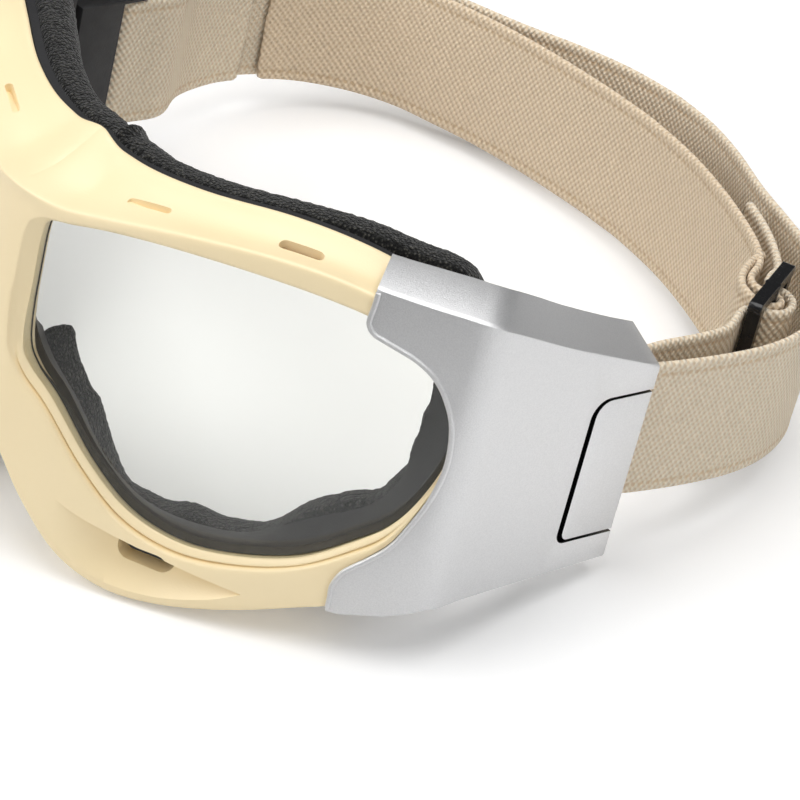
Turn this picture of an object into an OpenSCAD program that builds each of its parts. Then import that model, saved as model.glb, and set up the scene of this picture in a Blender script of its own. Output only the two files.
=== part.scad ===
// Protective sports glasses, standing on a table: the front leans back on the cheeks
// and the back of the strap touches the table. Millimetres.
// Each sub-part is made as worn (Z up, the face behind it at +Y) and then set down by stand().

/* [Front] */
// Radius of the front at the nose
nose_r = 14; // [10:0.5:20]
// Turn of the front at each side of the nose, degrees
nose_turn = 20; // [14:1:24]
// Turn of the front at the temple, degrees
temple_turn = 40; // [34:1:46]
// Half width of the front where the temple corner starts
temple_x = 64; // [60:0.5:70]
// Depth of the frame from front to rear rim
frame_depth = 10.5; // [9:0.5:13]
// Frame wall behind the lens
frame_wall = 2; // [1.6:0.1:2.6]

/* [Lens and seals] */
// Lens thickness
lens_t = 2.2; // [1.6:0.1:2.6]
// Depth of the frame lip in front of the lens
lip_t = 2.1; // [1.6:0.1:2.6]
// How far the lens reaches under the lip
lens_hold = 1; // [0.8:0.1:1.2]
// Thickness of the seal behind the lens
seal_t = 1.2; // [0.8:0.1:1.4]
// Thickness of the carrier flange behind the rim
flange_t = 1.6; // [1.2:0.1:2.4]
// Thickness of the face foam
foam_t = 7; // [5:0.5:10]
// Depth of the waves in the foam's inner edge
foam_wave = 0.8; // [0.2:0.1:1]
// Length of a brow vent slot
slot_len = 7; // [5:0.5:9]
// Width of a brow vent slot
slot_wide = 2; // [1.6:0.1:2.4]
// Length of a cheek vent hole
hole_len = 8; // [6:0.5:10]
// Width of a cheek vent hole
hole_wide = 2.4; // [2:0.1:3]

/* [Arms] */
// Radius of the temple corner
corner_r = 7; // [6:0.5:9]
// Length of the straight part of an arm
arm_len = 35.7; // [34:0.1:42]
// Wall of an arm
arm_wall = 2; // [1.6:0.1:2.4]
// How far an arm stands proud of the frame
arm_proud = 0.5; // [0.2:0.1:0.8]
// Height of the button
button_h = 25.8; // [22:0.1:28]
// Length of the button
button_len = 11.9; // [11:0.1:14]
// How much lower the button's rear end is than its front
button_drop = 1; // [0:0.1:1.5]
// Thickness of the button
button_t = 1.2; // [1:0.1:1.4]
// Travel of the button
button_travel = 0.9; // [0.6:0.1:1]
// Gap in front of the button
button_front_gap = 1.2; // [0.5:0.1:1.5]
// Gap above and below the button
button_gap = 0.25; // [0.2:0.05:0.4]
// Radius of the anchor pin
pin_r = 1.1; // [0.9:0.1:1.3]
// Radius of the arm screw's shank
screw_r = 1.1; // [0.9:0.1:1.3]

/* [Strap] */
// Width of the strap
strap_w = 24.5; // [20:0.5:25]
// Thickness of the strap
strap_t = 1.4; // [1:0.1:1.6]
// Height of the strap's lower edge over the cheeks, as worn
strap_z = 23.7; // [22:0.1:26]
// Radius of the slider's bars
slider_bar_r = 1.3; // [1:0.1:1.5]
// Thickness of the slider's rails
slider_t = 2.2; // [1.8:0.1:2.6]

/* [Hidden] */

// Small distances: a running gap, and the overlap that joins the two halves at the nose
gap = 0.15;
join = 2;
eps = 0.01;
// Front of the nose bar, and the table contact that the lean is worked out from
nose_y = 2;
contact_y = 21.8;
rest_flat = 0.5;

// The front's plan curve: a nose arc, a long arc to the temple, and the arm's corner
arc_r = (temple_x - nose_r * sin(nose_turn)) / (sin(temple_turn) - sin(nose_turn));
nose_end = [nose_r * sin(nose_turn), nose_y + nose_r * (1 - cos(nose_turn))];
s_nose = nose_r * nose_turn * PI / 180;
s_temple = s_nose + arc_r * (temple_turn - nose_turn) * PI / 180;
s_arm = s_temple + corner_r * (90 - temple_turn) * PI / 180;
s_end = s_arm + arm_len;
s_blend = 20;

function heading(s) = let (a = abs(s)) sign(s) *
    (a <= s_nose ? a / nose_r * 180 / PI : nose_turn + (a - s_nose) / arc_r * 180 / PI);
function front_xy(s) = let (h = abs(heading(s)))
    abs(s) <= s_nose ? [sign(s) * nose_r * sin(h), nose_y + nose_r * (1 - cos(h))]
    : [sign(s) * (nose_end.x + arc_r * (sin(h) - sin(nose_turn))),
       nose_end.y + arc_r * (cos(nose_turn) - cos(h))];
function depth_heading(s) = abs(s) < s_blend ? s / s_blend * heading(s_blend) : heading(s);
// A point of the front at arc length s and height z, d behind the outer surface
function shell(s, z, d) = let (p = front_xy(s), h = depth_heading(s))
    [p.x - d * sin(h), p.y + d * cos(h), z];

temple_xy = front_xy(s_temple);
arm_x = temple_xy.x + corner_r * (1 - sin(temple_turn));
arm_y = temple_xy.y + corner_r * cos(temple_turn);
function arm_xy(s) = s <= s_temple ? front_xy(s)
    : s <= s_arm ? let (h = temple_turn + (s - s_temple) / corner_r * 180 / PI)
        [temple_xy.x + corner_r * (sin(h) - sin(temple_turn)),
         temple_xy.y + corner_r * (cos(temple_turn) - cos(h))]
    : [arm_x, arm_y + s - s_arm];
// The way inwards across the arm, and the arm's width there
function arm_turn(s) = lookup(s, [[0, 0], [50, heading(50)], [62, heading(62)], [s_arm, 46],
    [s_arm + 9, 57], [s_arm + 20, 78], [s_arm + 29, 88], [s_end, 90]]);
function arm_width(s) = lookup(s, [[62, 8.6], [s_temple, 9.1], [s_arm, 8.5], [s_arm + 4, 8.05],
    [s_arm + 9, 7.6], [s_arm + 14, 7.4], [s_end, 7.4]]);
function arm_point(s, z, d) = let (p = arm_xy(s), h = arm_turn(s))
    [p.x - d * sin(h), p.y + d * cos(h), z];
function arm_top(s) = lookup(s, [[58, 66.7], [62, 66.4], [70, 65.9], [77, 65.3],
    [s_arm + 18, 57.1], [s_end, strap_z + strap_w + 2]]);
function arm_bottom(s) = lookup(s, [[57, 10.4], [64.4, 10.5], [71, 12.3], [76.6, 14.8],
    [84, 15.1], [s_end, 13.8]]);
function arm_rise(s) = lookup(s, [[58, 1.9], [s_end, 3.4]]);

// Stations round one half of the front, clockwise from the nose bar:
// lens opening (s, z), outer edge (s, z), depth, rise of the rear rim, depth of the front lip
D = frame_depth;
STATIONS = [
    [5.2, 45, -join, 45, 7, 0, 0],
    [5.3, 54, -join, 55, 7.5, 0, 0],
    [6.6, 57, -join, 60.6, D + 5, 5.9, 0],
    [11, 58.3, 8, 60.7, D + 3, 5.6, 0],
    [18, 59.9, 17, 62.4, D + 1, 4.1, 0],
    [28, 61.3, 28, 64.5, D, 2.6, 0],
    [40, 62.1, 41, 66.1, D, 2.1, 0],
    [51, 62, 52, 66.2, D, 1.6, 0],
    [60, 60.9, 61.5, 64.6, D, 1.3, 0],
    [67.3, 58, 69.4, 61.4, D, 0.6, 0.6],
    [72.6, 51.5, 74.9, 53, D, 0, 1.4],
    [74.4, 42, 76.9, 42, D, 0, 1.7],
    [72.1, 33.4, 75.9, 31.5, D, 0, 1.4],
    [68.6, 27.2, 72.4, 21, D, 0, 0.5],
    [63.7, 22.6, 66, 13, D, 0, 0],
    [56, 17, 57, 8.5, D, 0, 0],
    [46, 13.5, 46.5, 4, D, 0, 0],
    [37, 12.4, 36, 0.8, D, 0, 0],
    [28, 14.6, 27, 0, D, 0, 0],
    [20, 20.4, 18.5, 2.7, D, 0, 0],
    [12.3, 28, 11, 9.5, D - 0.5, 0, 0],
    [7.3, 31.9, 5.5, 16.5, D - 1, 0, 0],
    [5.3, 36, -join, 24, D - 1.5, 0, 0]];
// The same for the carrier and the foam, which go round both eyes: lens opening, outer
// edge, depth, rise, depth where the carrier starts, how far the foam reaches inwards and
// how far its outer edge is drawn in
FACE = concat([[0, 58.4, 0, 61.2, D + 5.4, 5.4, D + 5.3, 2, 0]],
    [for (i = [3 : 21]) let (t = STATIONS[i],
        reach = lookup(i, [[3, 5], [4, 8], [5, 7.4], [6, 4.4], [7, 2.6], [8, 3], [10, 5.8], [11, 6.4],
            [12, 5], [13, 2.2], [14, 0.4], [15, 1.6], [16, -2], [17, -3], [18, -6], [19, -8.5],
            [20, -8], [21, -6.4]]),
        drawn = lookup(i, [[6, 0], [8, -2], [9, -4.5], [10, -4], [11, -2], [12, 0], [15, 1.6],
            [18, 2.4], [20, 2.8], [21, 2]]))
        [t[0], t[1], t[2], t[3], t[4], t[5], i == 3 ? D + 2.9 : i == 4 ? 9 : 6.1,
         reach, drawn]],
    [[0, 37, 0, 24, D - 1, 0, 8.6, -5, 1.7]]);

function cubic(a, b, c, d, t) = 0.5 * (2 * b + (c - a) * t + (2 * a - 5 * b + 4 * c - d) * t * t
    + (3 * b - a - 3 * c + d) * t * t * t);
function smooth_loop(p, n) = let (m = len(p)) [for (i = [0 : m - 1]) for (k = [0 : n - 1])
    cubic(p[(i + m - 1) % m], p[i], p[(i + 1) % m], p[(i + 2) % m], k / n)];
function smooth_path(p, n) = let (m = len(p)) concat([for (i = [0 : m - 2]) for (k = [0 : n - 1])
    cubic(p[max(i - 1, 0)], p[i], p[i + 1], p[min(i + 2, m - 1)], k / n)], [p[m - 1]]);
function reversed(p) = [for (i = [len(p) - 1 : -1 : 0]) p[i]];

rings = smooth_loop(STATIONS, 3);
face_rings = let (right = smooth_path(FACE, 3), m = len(right)) concat(right,
    [for (i = [m - 2 : -1 : 1]) let (t = right[i])
        [-t[0], t[1], -t[2], t[3], t[4], t[5], t[6], t[7], t[8]]]);

// A point q from the lens opening towards the outer edge, raised by dz
function ring_point(t, q, d, dz = 0) = let (v = [t[2] - t[0], t[3] - t[1]], e = v / norm(v))
    shell(t[0] + e.x * q, t[1] + e.y * q + dz, d);
function ring_width(t) = norm([t[2] - t[0], t[3] - t[1]]);
function ring_up(t) = max(0, (t[3] - t[1]) / ring_width(t));

// Closed skin over a grid of loops: joined in a ring, or capped at its two ends
function tube_faces(n, m, ring) = concat(
    [for (i = [0 : (ring ? n : n - 1) - 1]) for (j = [0 : m - 1])
        let (a = i * m + j, b = i * m + (j + 1) % m,
             c = (i + 1) % n * m + (j + 1) % m, d = (i + 1) % n * m + j)
        each [[a, b, c], [a, c, d]]],
    ring ? [] : [[for (j = [m - 1 : -1 : 0]) j], [for (j = [0 : m - 1]) (n - 1) * m + j]]);
module tube(loops, ring = true) {
    polyhedron([for (l = loops) each l], tube_faces(len(loops), len(loops[0]), ring));
}

// Sets a worn piece down on the table, and draws the other side's copy of a piece
strap_rear_y = 151;
strap_reach = strap_rear_y + strap_t / 2;
foot_span = norm([strap_z, strap_reach - contact_y]);
lean = atan(strap_z / (strap_reach - contact_y)) - asin(rest_flat / foot_span);
lift = contact_y * sin(lean) - rest_flat;
front_reach = min([for (t = rings) for (p = frame_section(t)) p.y * cos(lean) + p.z * sin(lean)]);
rear_reach = strap_reach * cos(lean) + (strap_z + strap_w) * sin(lean);
middle_y = (front_reach + rear_reach) / 2;
echo(lean = lean, lift = lift, middle_y = middle_y);
module stand() {
    translate([0, -middle_y, lift]) rotate([-lean, 0, 0]) children();
}
module side(left) {
    mirror([left ? 0 : 1, 0, 0]) children();
}

// Frame: one ring section, with the lip, the brow channel, the rear rim and the lens seat
function frame_section(t) = let (w = ring_width(t), d = t[4], r = t[5], f = t[6],
        seat = lens_hold + gap, inner = max(w - frame_wall, seat), back = lip_t - 0.15,
        drop = frame_wall * (1 - ring_up(t)) * (r > 0 ? 1 : 0))
    [ring_point(t, 0, min(f + 0.9, back)), ring_point(t, min(0.8, w * 0.35),
        min(f + 0.35, back)),
     ring_point(t, min(1.3, w * 0.5), f), ring_point(t, w - 0.7, f),
     ring_point(t, w, f + 0.8), ring_point(t, w - 0.25, f + d * 0.28, r * 0.15),
     ring_point(t, w - 0.4, f + d * 0.5, r * 0.4), ring_point(t, w - 0.2, d * 0.82, r * 0.8),
     ring_point(t, w, d - 0.5, r), ring_point(t, w - 0.5, d, r),
     ring_point(t, inner, d, r - drop), ring_point(t, min(inner, 2.6), 6),
     ring_point(t, seat, lip_t + lens_t + 1.5), ring_point(t, seat, lip_t),
     ring_point(t, 0, lip_t + 0.01)];

// Places of the vents along the front
slot_s = [20.5, 45.2];
slot_floor = [62.9, 56];
slot_d = 5.4;
hole_at = [33.2, 8.6];
scoop_at = [31, 6.4];

module along_front(s, z, d) {
    translate(shell(s, z, d)) rotate([0, 0, heading(s)]) children();
}
module oval(len, wide, deep) {
    hull() for (x = [-1, 1]) translate([x * (len - wide) / 2, 0, 0])
        cylinder(d = wide, h = deep, $fn = 24);
}

// Leaf-shaped scoop in the cheek, round the vent hole
module cheek_scoop() {
    along_front(scoop_at.x, scoop_at.y, 0) rotate([90, -8, 0]) hull() {
        scale([15, 4.6, 1.8]) sphere(1, $fn = 20);
        translate([-6, 0, 0]) scale([9, 5, 2.2]) sphere(1, $fn = 20);
    }
}

module frame_half() {
    difference() {
        tube([for (t = rings) frame_section(t)]);
        // The slot by the nose is a shallow recess, and the other one goes right through
        for (i = [0, 1]) along_front(slot_s[i], slot_floor[i], slot_d)
            oval(slot_len, slot_wide * (i == 0 ? 0.6 : 1), 20);
        along_front(hole_at.x, hole_at.y, -2) rotate([90, 0, 0]) translate([0, 0, -8.5])
            oval(hole_len, hole_wide, 9);
        cheek_scoop();
        arm_keepout();
        screw_bore();
    }
}

module front_frame() color([0.98, 0.92, 0.78]) {
    difference() {
        stand() {
            frame_half();
            mirror([1, 0, 0]) frame_half();
        }
        translate([-100, -100, -20]) cube([200, 200, 20]);
    }
}

// Lens: columns between the lower and upper edge of the opening, with the lens's hold
function edge_of(t, q) = let (p = [t[2] - t[0], t[3] - t[1]], e = p / norm(p))
    [t[0] + e.x * q, t[1] + e.y * q];
lens_edge = [for (t = rings) edge_of(t, lens_hold)];
lens_far = 33;
upper_edge = [for (i = [0 : lens_far]) lens_edge[i]];
lower_edge = [for (i = [len(lens_edge) : -1 : lens_far]) lens_edge[i % len(lens_edge)]];
function columns(upper, lower, n) = let (a = upper[0].x + 0.05,
        b = upper[len(upper) - 1].x - 0.05)
    [for (i = [0 : n]) let (s = (a + b) / 2 - (b - a) / 2 * cos(180 * i / n))
        [s, lookup(s, lower), lookup(s, upper)]];
module plate(cols, d1, d2) {
    tube([for (c = cols) [shell(c[0], c[1], d1), shell(c[0], c[2], d1),
        shell(c[0], c[2], d2), shell(c[0], c[1], d2)]], false);
}
module lens() {
    plate(columns(upper_edge, lower_edge, 28), lip_t + 0.02, lip_t + lens_t);
}

// Seal ring behind the lens
module lens_seal() {
    d1 = lip_t + lens_t + 0.02;
    tube([for (t = rings) let (q = lens_hold, q_in = lookup(t[0], [[7, 0.6], [16, 0.3], [26, -0.5]]))
        [ring_point(t, q_in, d1), ring_point(t, q, d1), ring_point(t, q, d1 + seal_t),
         ring_point(t, q_in + 0.3, d1 + seal_t)]]);
}

// Carrier: a liner behind the seal, and the flange that the foam is stuck to
function carrier_section(t) = let (w = ring_width(t), d = t[4], r = t[5],
        drop = frame_wall * (1 - ring_up(t)) * (r > 0 ? 1 : 0),
        out = max(w - frame_wall - 0.35, 0.8), a = -t[7] * 0.8, lip = min(0.2, out - 0.5),
        rim = max(w - 0.5 - max(t[8], 0), out + 0.3))
    [ring_point(t, lip, t[6]), ring_point(t, min(1.4, out), t[6] + 0.02),
     ring_point(t, out, d, r - drop), ring_point(t, out + 0.02, d + gap, r - drop),
     ring_point(t, rim, d + gap, r - drop / 2), ring_point(t, rim, d + flange_t, r - drop / 2),
     ring_point(t, a + 0.2, d + flange_t, 0.4 * r), ring_point(t, a * 0.6 + 0.1, d, 0.3 * r)];
module carrier() color([0.12, 0.12, 0.12]) stand()
    tube([for (t = face_rings) carrier_section(t)]);

// Face foam: a rounded ring with a wavy inner edge
waves = 15;
function foam_section(t, i, n) = let (w = ring_width(t), d = t[4] + flange_t + 0.12, r = t[5],
        q0 = -t[7] + foam_wave * sin(360 * waves * i / n),
        q1 = max(w - 0.8 - t[8], q0 + 4.6), m = (q0 + q1) / 2)
    reversed([ring_point(t, q0 + 0.4, d, 0.4 * r), ring_point(t, q0, d + 0.3 * foam_t, 0.5 * r),
     ring_point(t, q0 + 0.5, d + 0.8 * foam_t, 0.7 * r),
     ring_point(t, m, d + foam_t, 0.85 * r),
     ring_point(t, q1 - 0.9, d + 0.85 * foam_t, 0.9 * r),
     ring_point(t, q1, d + 0.5 * foam_t, r), ring_point(t, q1 - 0.3, d, r * 0.95)]);
module face_foam() color([0.2, 0.2, 0.19]) stand() {
    n = len(face_rings);
    tube([for (i = [0 : n - 1]) foam_section(face_rings[i], i, n)]);
}

// Filter pad down in each through slot of the brow, mesh down in each cheek hole
pad_z = 63.9;
module brow_filter() {
    along_front(slot_s[1], pad_z, slot_d) oval(slot_len - 0.1, slot_wide - 0.1, 1);
}
module cheek_mesh() {
    along_front(hole_at.x, hole_at.y, 3.8) rotate([90, 0, 0]) oval(hole_len - 0.1,
        hole_wide - 0.1, 0.8);
}

// Arm: a channel swept round the temple corner, with the C-shaped front edge cut out
function arm_section(s, grow) = let (t = arm_top(s), b = arm_bottom(s), w = arm_width(s),
        r = arm_rise(s), o = -arm_proud, i = arm_wall - arm_proud + grow, v = arm_wall - 0.2 + grow)
    [arm_point(s, b + 0.6, o), arm_point(s, t - 0.6, o), arm_point(s, t, 0.2),
     arm_point(s, t + r, w - 0.6), arm_point(s, t + r - 0.5, w),
     arm_point(s, t + r - v, w), arm_point(s, t - v + 0.3, i), arm_point(s, b + v, i),
     arm_point(s, b + v, w), arm_point(s, b + 0.4, w), arm_point(s, b, w - 0.6),
     arm_point(s, b, 0.2)];
arm_stops = concat([58.3, 60, 62, 65, 68, 71, s_temple],
    [for (k = [1 : 4]) s_temple + (s_arm - s_temple) * k / 4],
    [s_arm + 4, s_arm + 9, s_arm + 14, s_arm + 20, s_arm + 28, s_end]);
// The C: the upper edge from the upper prong to the temple, and back along the lower prong
C_EDGE = [[56, 59.6], [58.4, 59.5], [62.1, 58.7], [66.4, 57.3], [69.6, 55.2], [72, 52],
    [73.8, 47.6], [74.4, 41.3], [73.5, 35.2], [71.7, 29.9], [69.6, 25.2], [67.1, 22.1],
    [63.8, 18.9], [62.4, 17.1], [56, 17.1]];
c_far = 7;
c_upper = [for (i = [0 : c_far]) C_EDGE[i]];
c_lower = [for (i = [len(C_EDGE) - 1 : -1 : c_far]) C_EDGE[i]];
module c_notch(grow) {
    cols = columns(smooth_path(c_upper, 2), smooth_path(c_lower, 2), 20);
    // In slices, because the outline is hollow towards the temple
    for (i = [1 : len(cols) - 1]) hull() plate([for (c = [cols[i - 1], cols[i]])
        [c[0] + grow, c[1] - grow, c[2] + grow]], -4, 6);
}
module arm_channel(grow) {
    difference() {
        tube([for (s = arm_stops) arm_section(s, grow)], false);
        c_notch(-grow);
        // The lower prong starts further back than the upper one
        along_front(62.4 - grow, 0, 0) translate([-12, -6, -5]) cube([12, 24, 45]);
    }
}
// What the arm and its gap take from the pieces under it
module arm_keepout() {
    arm_channel(gap);
    along_front(58.3 - gap, 66.2, 0) translate([0, -3, 0]) cube([26, 20, 12]);
}

// The button's outline on the arm, seen from the side: rear end open, front corners round
button_y = arm_y + arm_len - button_len;
button_z = 20.4;
function round_corner(c, r, a0) = [for (k = [0 : 6]) c + r * [cos(a0 + 15 * k), sin(a0 + 15 * k)]];
module button_outline(y0, z0, z1, y1, grow) {
    top_r = 3 + grow;
    low_r = 1.5 + grow;
    points = concat([[y1, z0], [y1, z1]], round_corner([y0 + top_r, z1 - top_r], top_r, 90),
        round_corner([y0 + low_r, z0 + low_r], low_r, 180));
    polygon([for (p = points) [p.x, p.y - button_drop * (p.x - button_y) / button_len]]);
}
// Lays an outline in Y and Z on the arm's side, from depth d inwards to d plus deep
module on_arm(d, deep) {
    translate([arm_x - d - deep, 0, 0]) rotate([90, 0, 90]) linear_extrude(deep) children();
}

module arm() {
    difference() {
        arm_channel(0);
        on_arm(-arm_proud - 1, arm_wall + 2) button_outline(button_y - button_front_gap,
            button_z - button_gap, button_z + button_h + button_gap, arm_y + arm_len + 5, 0.3);
        screw_bore();
    }
}
module arm_cover() {
    // It ends a little in front of the clip
    far = arm_len - button_len - 6.6;
    stops = [for (k = [0 : 3]) s_arm + 5 + (far - 5) * k / 3];
    v = arm_wall - 0.1;
    tube([for (s = stops) let (t = arm_top(s) + arm_rise(s), b = arm_bottom(s),
            w = arm_width(s))
        [arm_point(s, b + v, w - 1.3), arm_point(s, t - v - 0.5, w - 1.3),
         arm_point(s, t - v - 0.15, w - 0.1), arm_point(s, b + v, w - 0.1)]], false);
}

// Screw from below through the arm's lower wall into the frame
screw_at = [66.6, 5];
screw_head = 1.2;
screw_len = 7;
module at_screw(grow = 0) {
    p = shell(screw_at.x, 0, screw_at.y);
    translate([p.x, p.y, arm_bottom(screw_at.x) + grow]) children();
}
module screw_bore() {
    at_screw() {
        translate([0, 0, -6]) cylinder(r = screw_r + 0.05, h = 6 + screw_len + 0.3, $fn = 48);
        translate([0, 0, -6]) cylinder(r = screw_r * 1.9 + 0.1, h = 6 + 0.3, $fn = 48);
    }
}
module arm_screw() {
    at_screw() difference() {
        union() {
            cylinder(r = screw_r, h = screw_len, $fn = 48);
            translate([0, 0, 0.3 - screw_head]) cylinder(r = screw_r * 1.9, h = screw_head,
                $fn = 48);
        }
        translate([0, 0, 0.3 - screw_head - eps]) cylinder(r = 0.8, h = 0.7, $fn = 6);
    }
}

// Strap clip, which slides out of the arm's rear end with the strap
pin_y = arm_y + arm_len - 2.7;
pin_d = 4.5;
loop_r = pin_r + 0.1 + strap_t / 2;
clip_front = button_y - 3;
clip_top = strap_z + strap_w + 0.9;
// The strap and its clips slide along the slope of the button's edges, so the clip needs room
slide_slope = button_drop / button_len;
clip_bottom = max(arm_bottom(s_end), arm_bottom(s_end - button_len - 3)) + arm_wall + 0.2
    + slide_slope * (button_len + 3);
clip_d = button_t - arm_proud + button_travel + 0.15;
clip_depth = 5.4;
spring_y = button_y + 2.9;
spring_z = button_z + button_h / 2 - button_drop * 2.9 / button_len;
spring_r = 2.4;
spring_wire = 0.3;
spring_len = clip_d + clip_depth - 0.8 - (button_t - arm_proud) - 0.06;
bore_r = spring_r + spring_wire + 0.3;
module clip() {
    difference() {
        on_arm(clip_d, clip_depth) translate([clip_front, clip_bottom])
            square([arm_y + arm_len - 0.3 - clip_front, clip_top - clip_bottom]);
        // A step along the top, where the arm's roof comes lowest
        on_arm(clip_d - 1, 1.9) translate([clip_front - 1, clip_top - 0.4])
            square([arm_y + arm_len + 2 - clip_front, 2]);
        // Room for the strap's loop round the pin
        on_arm(clip_d - 1, clip_depth + 2) translate([pin_y - loop_r - strap_t / 2 - 0.2,
            strap_z - 0.2]) square([20, strap_w + 0.4]);
        translate([arm_x - clip_d, spring_y, spring_z]) rotate([0, -90, 0])
            translate([0, 0, -1]) cylinder(r = bore_r, h = clip_depth - 0.8 + 1, $fn = 48);
        translate([arm_x - pin_d, pin_y, 0]) cylinder(r = pin_r + 0.02, h = 80, $fn = 48);
    }
}
module anchor_pin() {
    translate([arm_x - pin_d, pin_y, clip_bottom]) cylinder(r = pin_r,
        h = clip_top - clip_bottom, $fn = 48);
}
module button() {
    on_arm(-arm_proud, button_t) button_outline(button_y, button_z, button_z + button_h,
        arm_y + arm_len, 0);
    translate([arm_x + arm_proud - button_t + eps, spring_y, spring_z]) rotate([0, -90, 0])
        cylinder(r = spring_r - spring_wire - 0.4, h = clip_d + arm_proud - button_t + 1.6,
            $fn = 48);
}
module button_spring() {
    turns = 6;
    steps = 10;
    x0 = arm_x - clip_d - clip_depth + 0.83 + spring_wire;
    tube([for (k = [0 : turns * steps]) let (a = 360 * k / steps,
            x = x0 + (spring_len - 2 * spring_wire) * k / turns / steps)
        [for (j = [0 : 5]) [x + spring_wire * sin(60 * j),
            spring_y + (spring_r + spring_wire * cos(60 * j)) * cos(a),
            spring_z + (spring_r + spring_wire * cos(60 * j)) * sin(a)]]], false);
}

// Slider: two rails and a middle bar; t runs along the strap, n outwards
slider_xy = [57.2, 114.5];
slider_turn = 114;
slider_h = strap_w + 5;
rail_t = 7;
function at_slider(t, n) = slider_xy + t * [cos(slider_turn), sin(slider_turn)]
    + n * [sin(slider_turn), -cos(slider_turn)];
module slider() {
    z0 = strap_z - 0.5 - 2;
    translate([slider_xy.x, slider_xy.y, z0]) rotate([0, 0, slider_turn]) {
        for (t = [-1, 1]) translate([t * rail_t - 1, -slider_t / 2, 0])
            cube([2, slider_t, slider_h]);
        for (z = [0, slider_h - 2]) translate([-rail_t, -slider_t / 2, z])
            cube([2 * rail_t, slider_t, 2]);
        cylinder(r = slider_bar_r, h = slider_h, $fn = 48);
        for (z = [0, slider_h - 2]) for (t = [-1, 1]) translate([t * (rail_t + 1), 0, z + 1])
            rotate([90, 0, 0]) cylinder(r = 1, h = slider_t, center = true, $fn = 32);
    }
}

// Strap layers, as worn from above. The long strap: round the back, round the anchor pin and,
// on the left, back to the slider, over its bar and on as a tail. On the right it is sewn to
// itself behind the pin, and the shorter band is sewn to it further back.
OUTER_BACK = [[0, strap_rear_y], [10, 149.8], [20, 146.4], [30, 141.6], [40, 137.8], [49, 134],
    [57, 128.5], [63.4, 121], [67, 112], [68, 103], [67, 93], [65.2, 84]];
pin_loop = [for (k = [0 : 8]) [arm_x - pin_d + loop_r * cos(-22.5 * k),
    pin_y + loop_r * sin(-22.5 * k)]];
WEAVE = [[-14, -2.1], [-8.6, -2.25], [-5.7, -1.9], [-4.6, 0], [-3.9, 2], [-2.4, 3.5], [0, 4],
    [2.4, 3.5], [3.9, 2], [4.6, 0], [5.7, -1.9], [8.6, -2.25], [12, -2.2]];
TAIL = [[43.2, 130.2], [36.5, 134], [32.5, 135.8]];
SEWN_TAIL = [[64.6, 93.4], [66.35, 103], [65.8, 109.3]];
to_pin = concat(smooth_path(concat(OUTER_BACK, [[pin_loop[0].x, pin_y + 3.5], pin_loop[0]]), 3),
    [for (k = [1 : 7]) pin_loop[k]]);
from_pin = [pin_loop[8], [pin_loop[8].x, pin_y + 3.5], [59.9, 86]];
outer_left = concat(to_pin, smooth_path(concat(from_pin, [[60.9, 94]],
    [for (w = WEAVE) at_slider(w.x, w.y)], TAIL), 3));
outer_right = concat(to_pin, smooth_path(concat(from_pin, SEWN_TAIL), 3));
INNER_BACK = [[0, 139.8], [6, 139.5], [18, 137.2], [30, 133], [40, 128.2], [45.4, 124.8]];
NECK = [[10, -5], [5.4, -4.8], [2.4, -3.9], [0.6, -2.3]];
inner_left = smooth_path(concat(INNER_BACK, [for (w = NECK) at_slider(w.x, w.y)]), 3);
INNER_SEWN = [[0, 139.8], [6, 139.9], [18, 139.2], [30, 137.6], [40, 135], [48.1, 132.4],
    [55.8, 127.2], [61.9, 120], [65.1, 112.7]];
inner_right = smooth_path(INNER_SEWN, 3);
FOLD = [[-0.6, -2.4], [1.2, -4.9], [5, -6.2], [10, -6.4], [14.5, -5.6]];

// The left route, run on from the right one's mirror image
function both_sides(p, q) = concat([for (i = [len(q) - 1 : -1 : 1]) [-q[i].x, q[i].y]], p);
function side_of(p, i, o) = let (a = p[max(i - 1, 0)], b = p[min(i + 1, len(p) - 1)],
        v = (b - a) / norm(b - a)) p[i] + o * [v.y, -v.x];
module ribbon(p, t) {
    n = len(p);
    polygon(concat([for (i = [0 : n - 1]) side_of(p, i, t / 2)],
        [for (i = [n - 1 : -1 : 0]) side_of(p, i, -t / 2)]));
}
module strap_layer() {
    translate([0, 0, strap_z]) linear_extrude(strap_w) children();
}
module outer_strap() color([0.84, 0.76, 0.62]) stand() strap_layer()
    ribbon(both_sides(outer_left, outer_right), strap_t);
module inner_strap() color([0.78, 0.7, 0.56]) stand() strap_layer() {
    ribbon(both_sides(inner_left, inner_right), strap_t);
    difference() {
        translate(slider_xy) circle(r = slider_bar_r + 0.1 + strap_t, $fn = 48);
        translate(slider_xy) circle(r = slider_bar_r + 0.1, $fn = 48);
    }
    ribbon(smooth_path([for (w = FOLD) at_slider(w.x, w.y)], 3), strap_t);
}

module lens_left() color([0.8, 0.88, 0.9, 0.4]) stand() side(true) lens();
module lens_right() color([0.8, 0.88, 0.9, 0.4]) stand() side(false) lens();
module lens_seal_left() color([0.1, 0.1, 0.1]) stand() side(true) lens_seal();
module lens_seal_right() color([0.1, 0.1, 0.1]) stand() side(false) lens_seal();
module brow_filter_left() color([0.25, 0.25, 0.25]) stand() side(true) brow_filter();
module brow_filter_right() color([0.25, 0.25, 0.25]) stand() side(false) brow_filter();
module cheek_mesh_left() color([0.05, 0.05, 0.05]) stand() side(true) cheek_mesh();
module cheek_mesh_right() color([0.05, 0.05, 0.05]) stand() side(false) cheek_mesh();
module arm_left() color([0.78, 0.78, 0.8]) stand() side(true) arm();
module arm_right() color([0.78, 0.78, 0.8]) stand() side(false) arm();
module arm_cover_left() color([0.15, 0.15, 0.16]) stand() side(true) arm_cover();
module arm_cover_right() color([0.15, 0.15, 0.16]) stand() side(false) arm_cover();
module arm_screw_left() color([0.6, 0.6, 0.62]) stand() side(true) arm_screw();
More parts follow.
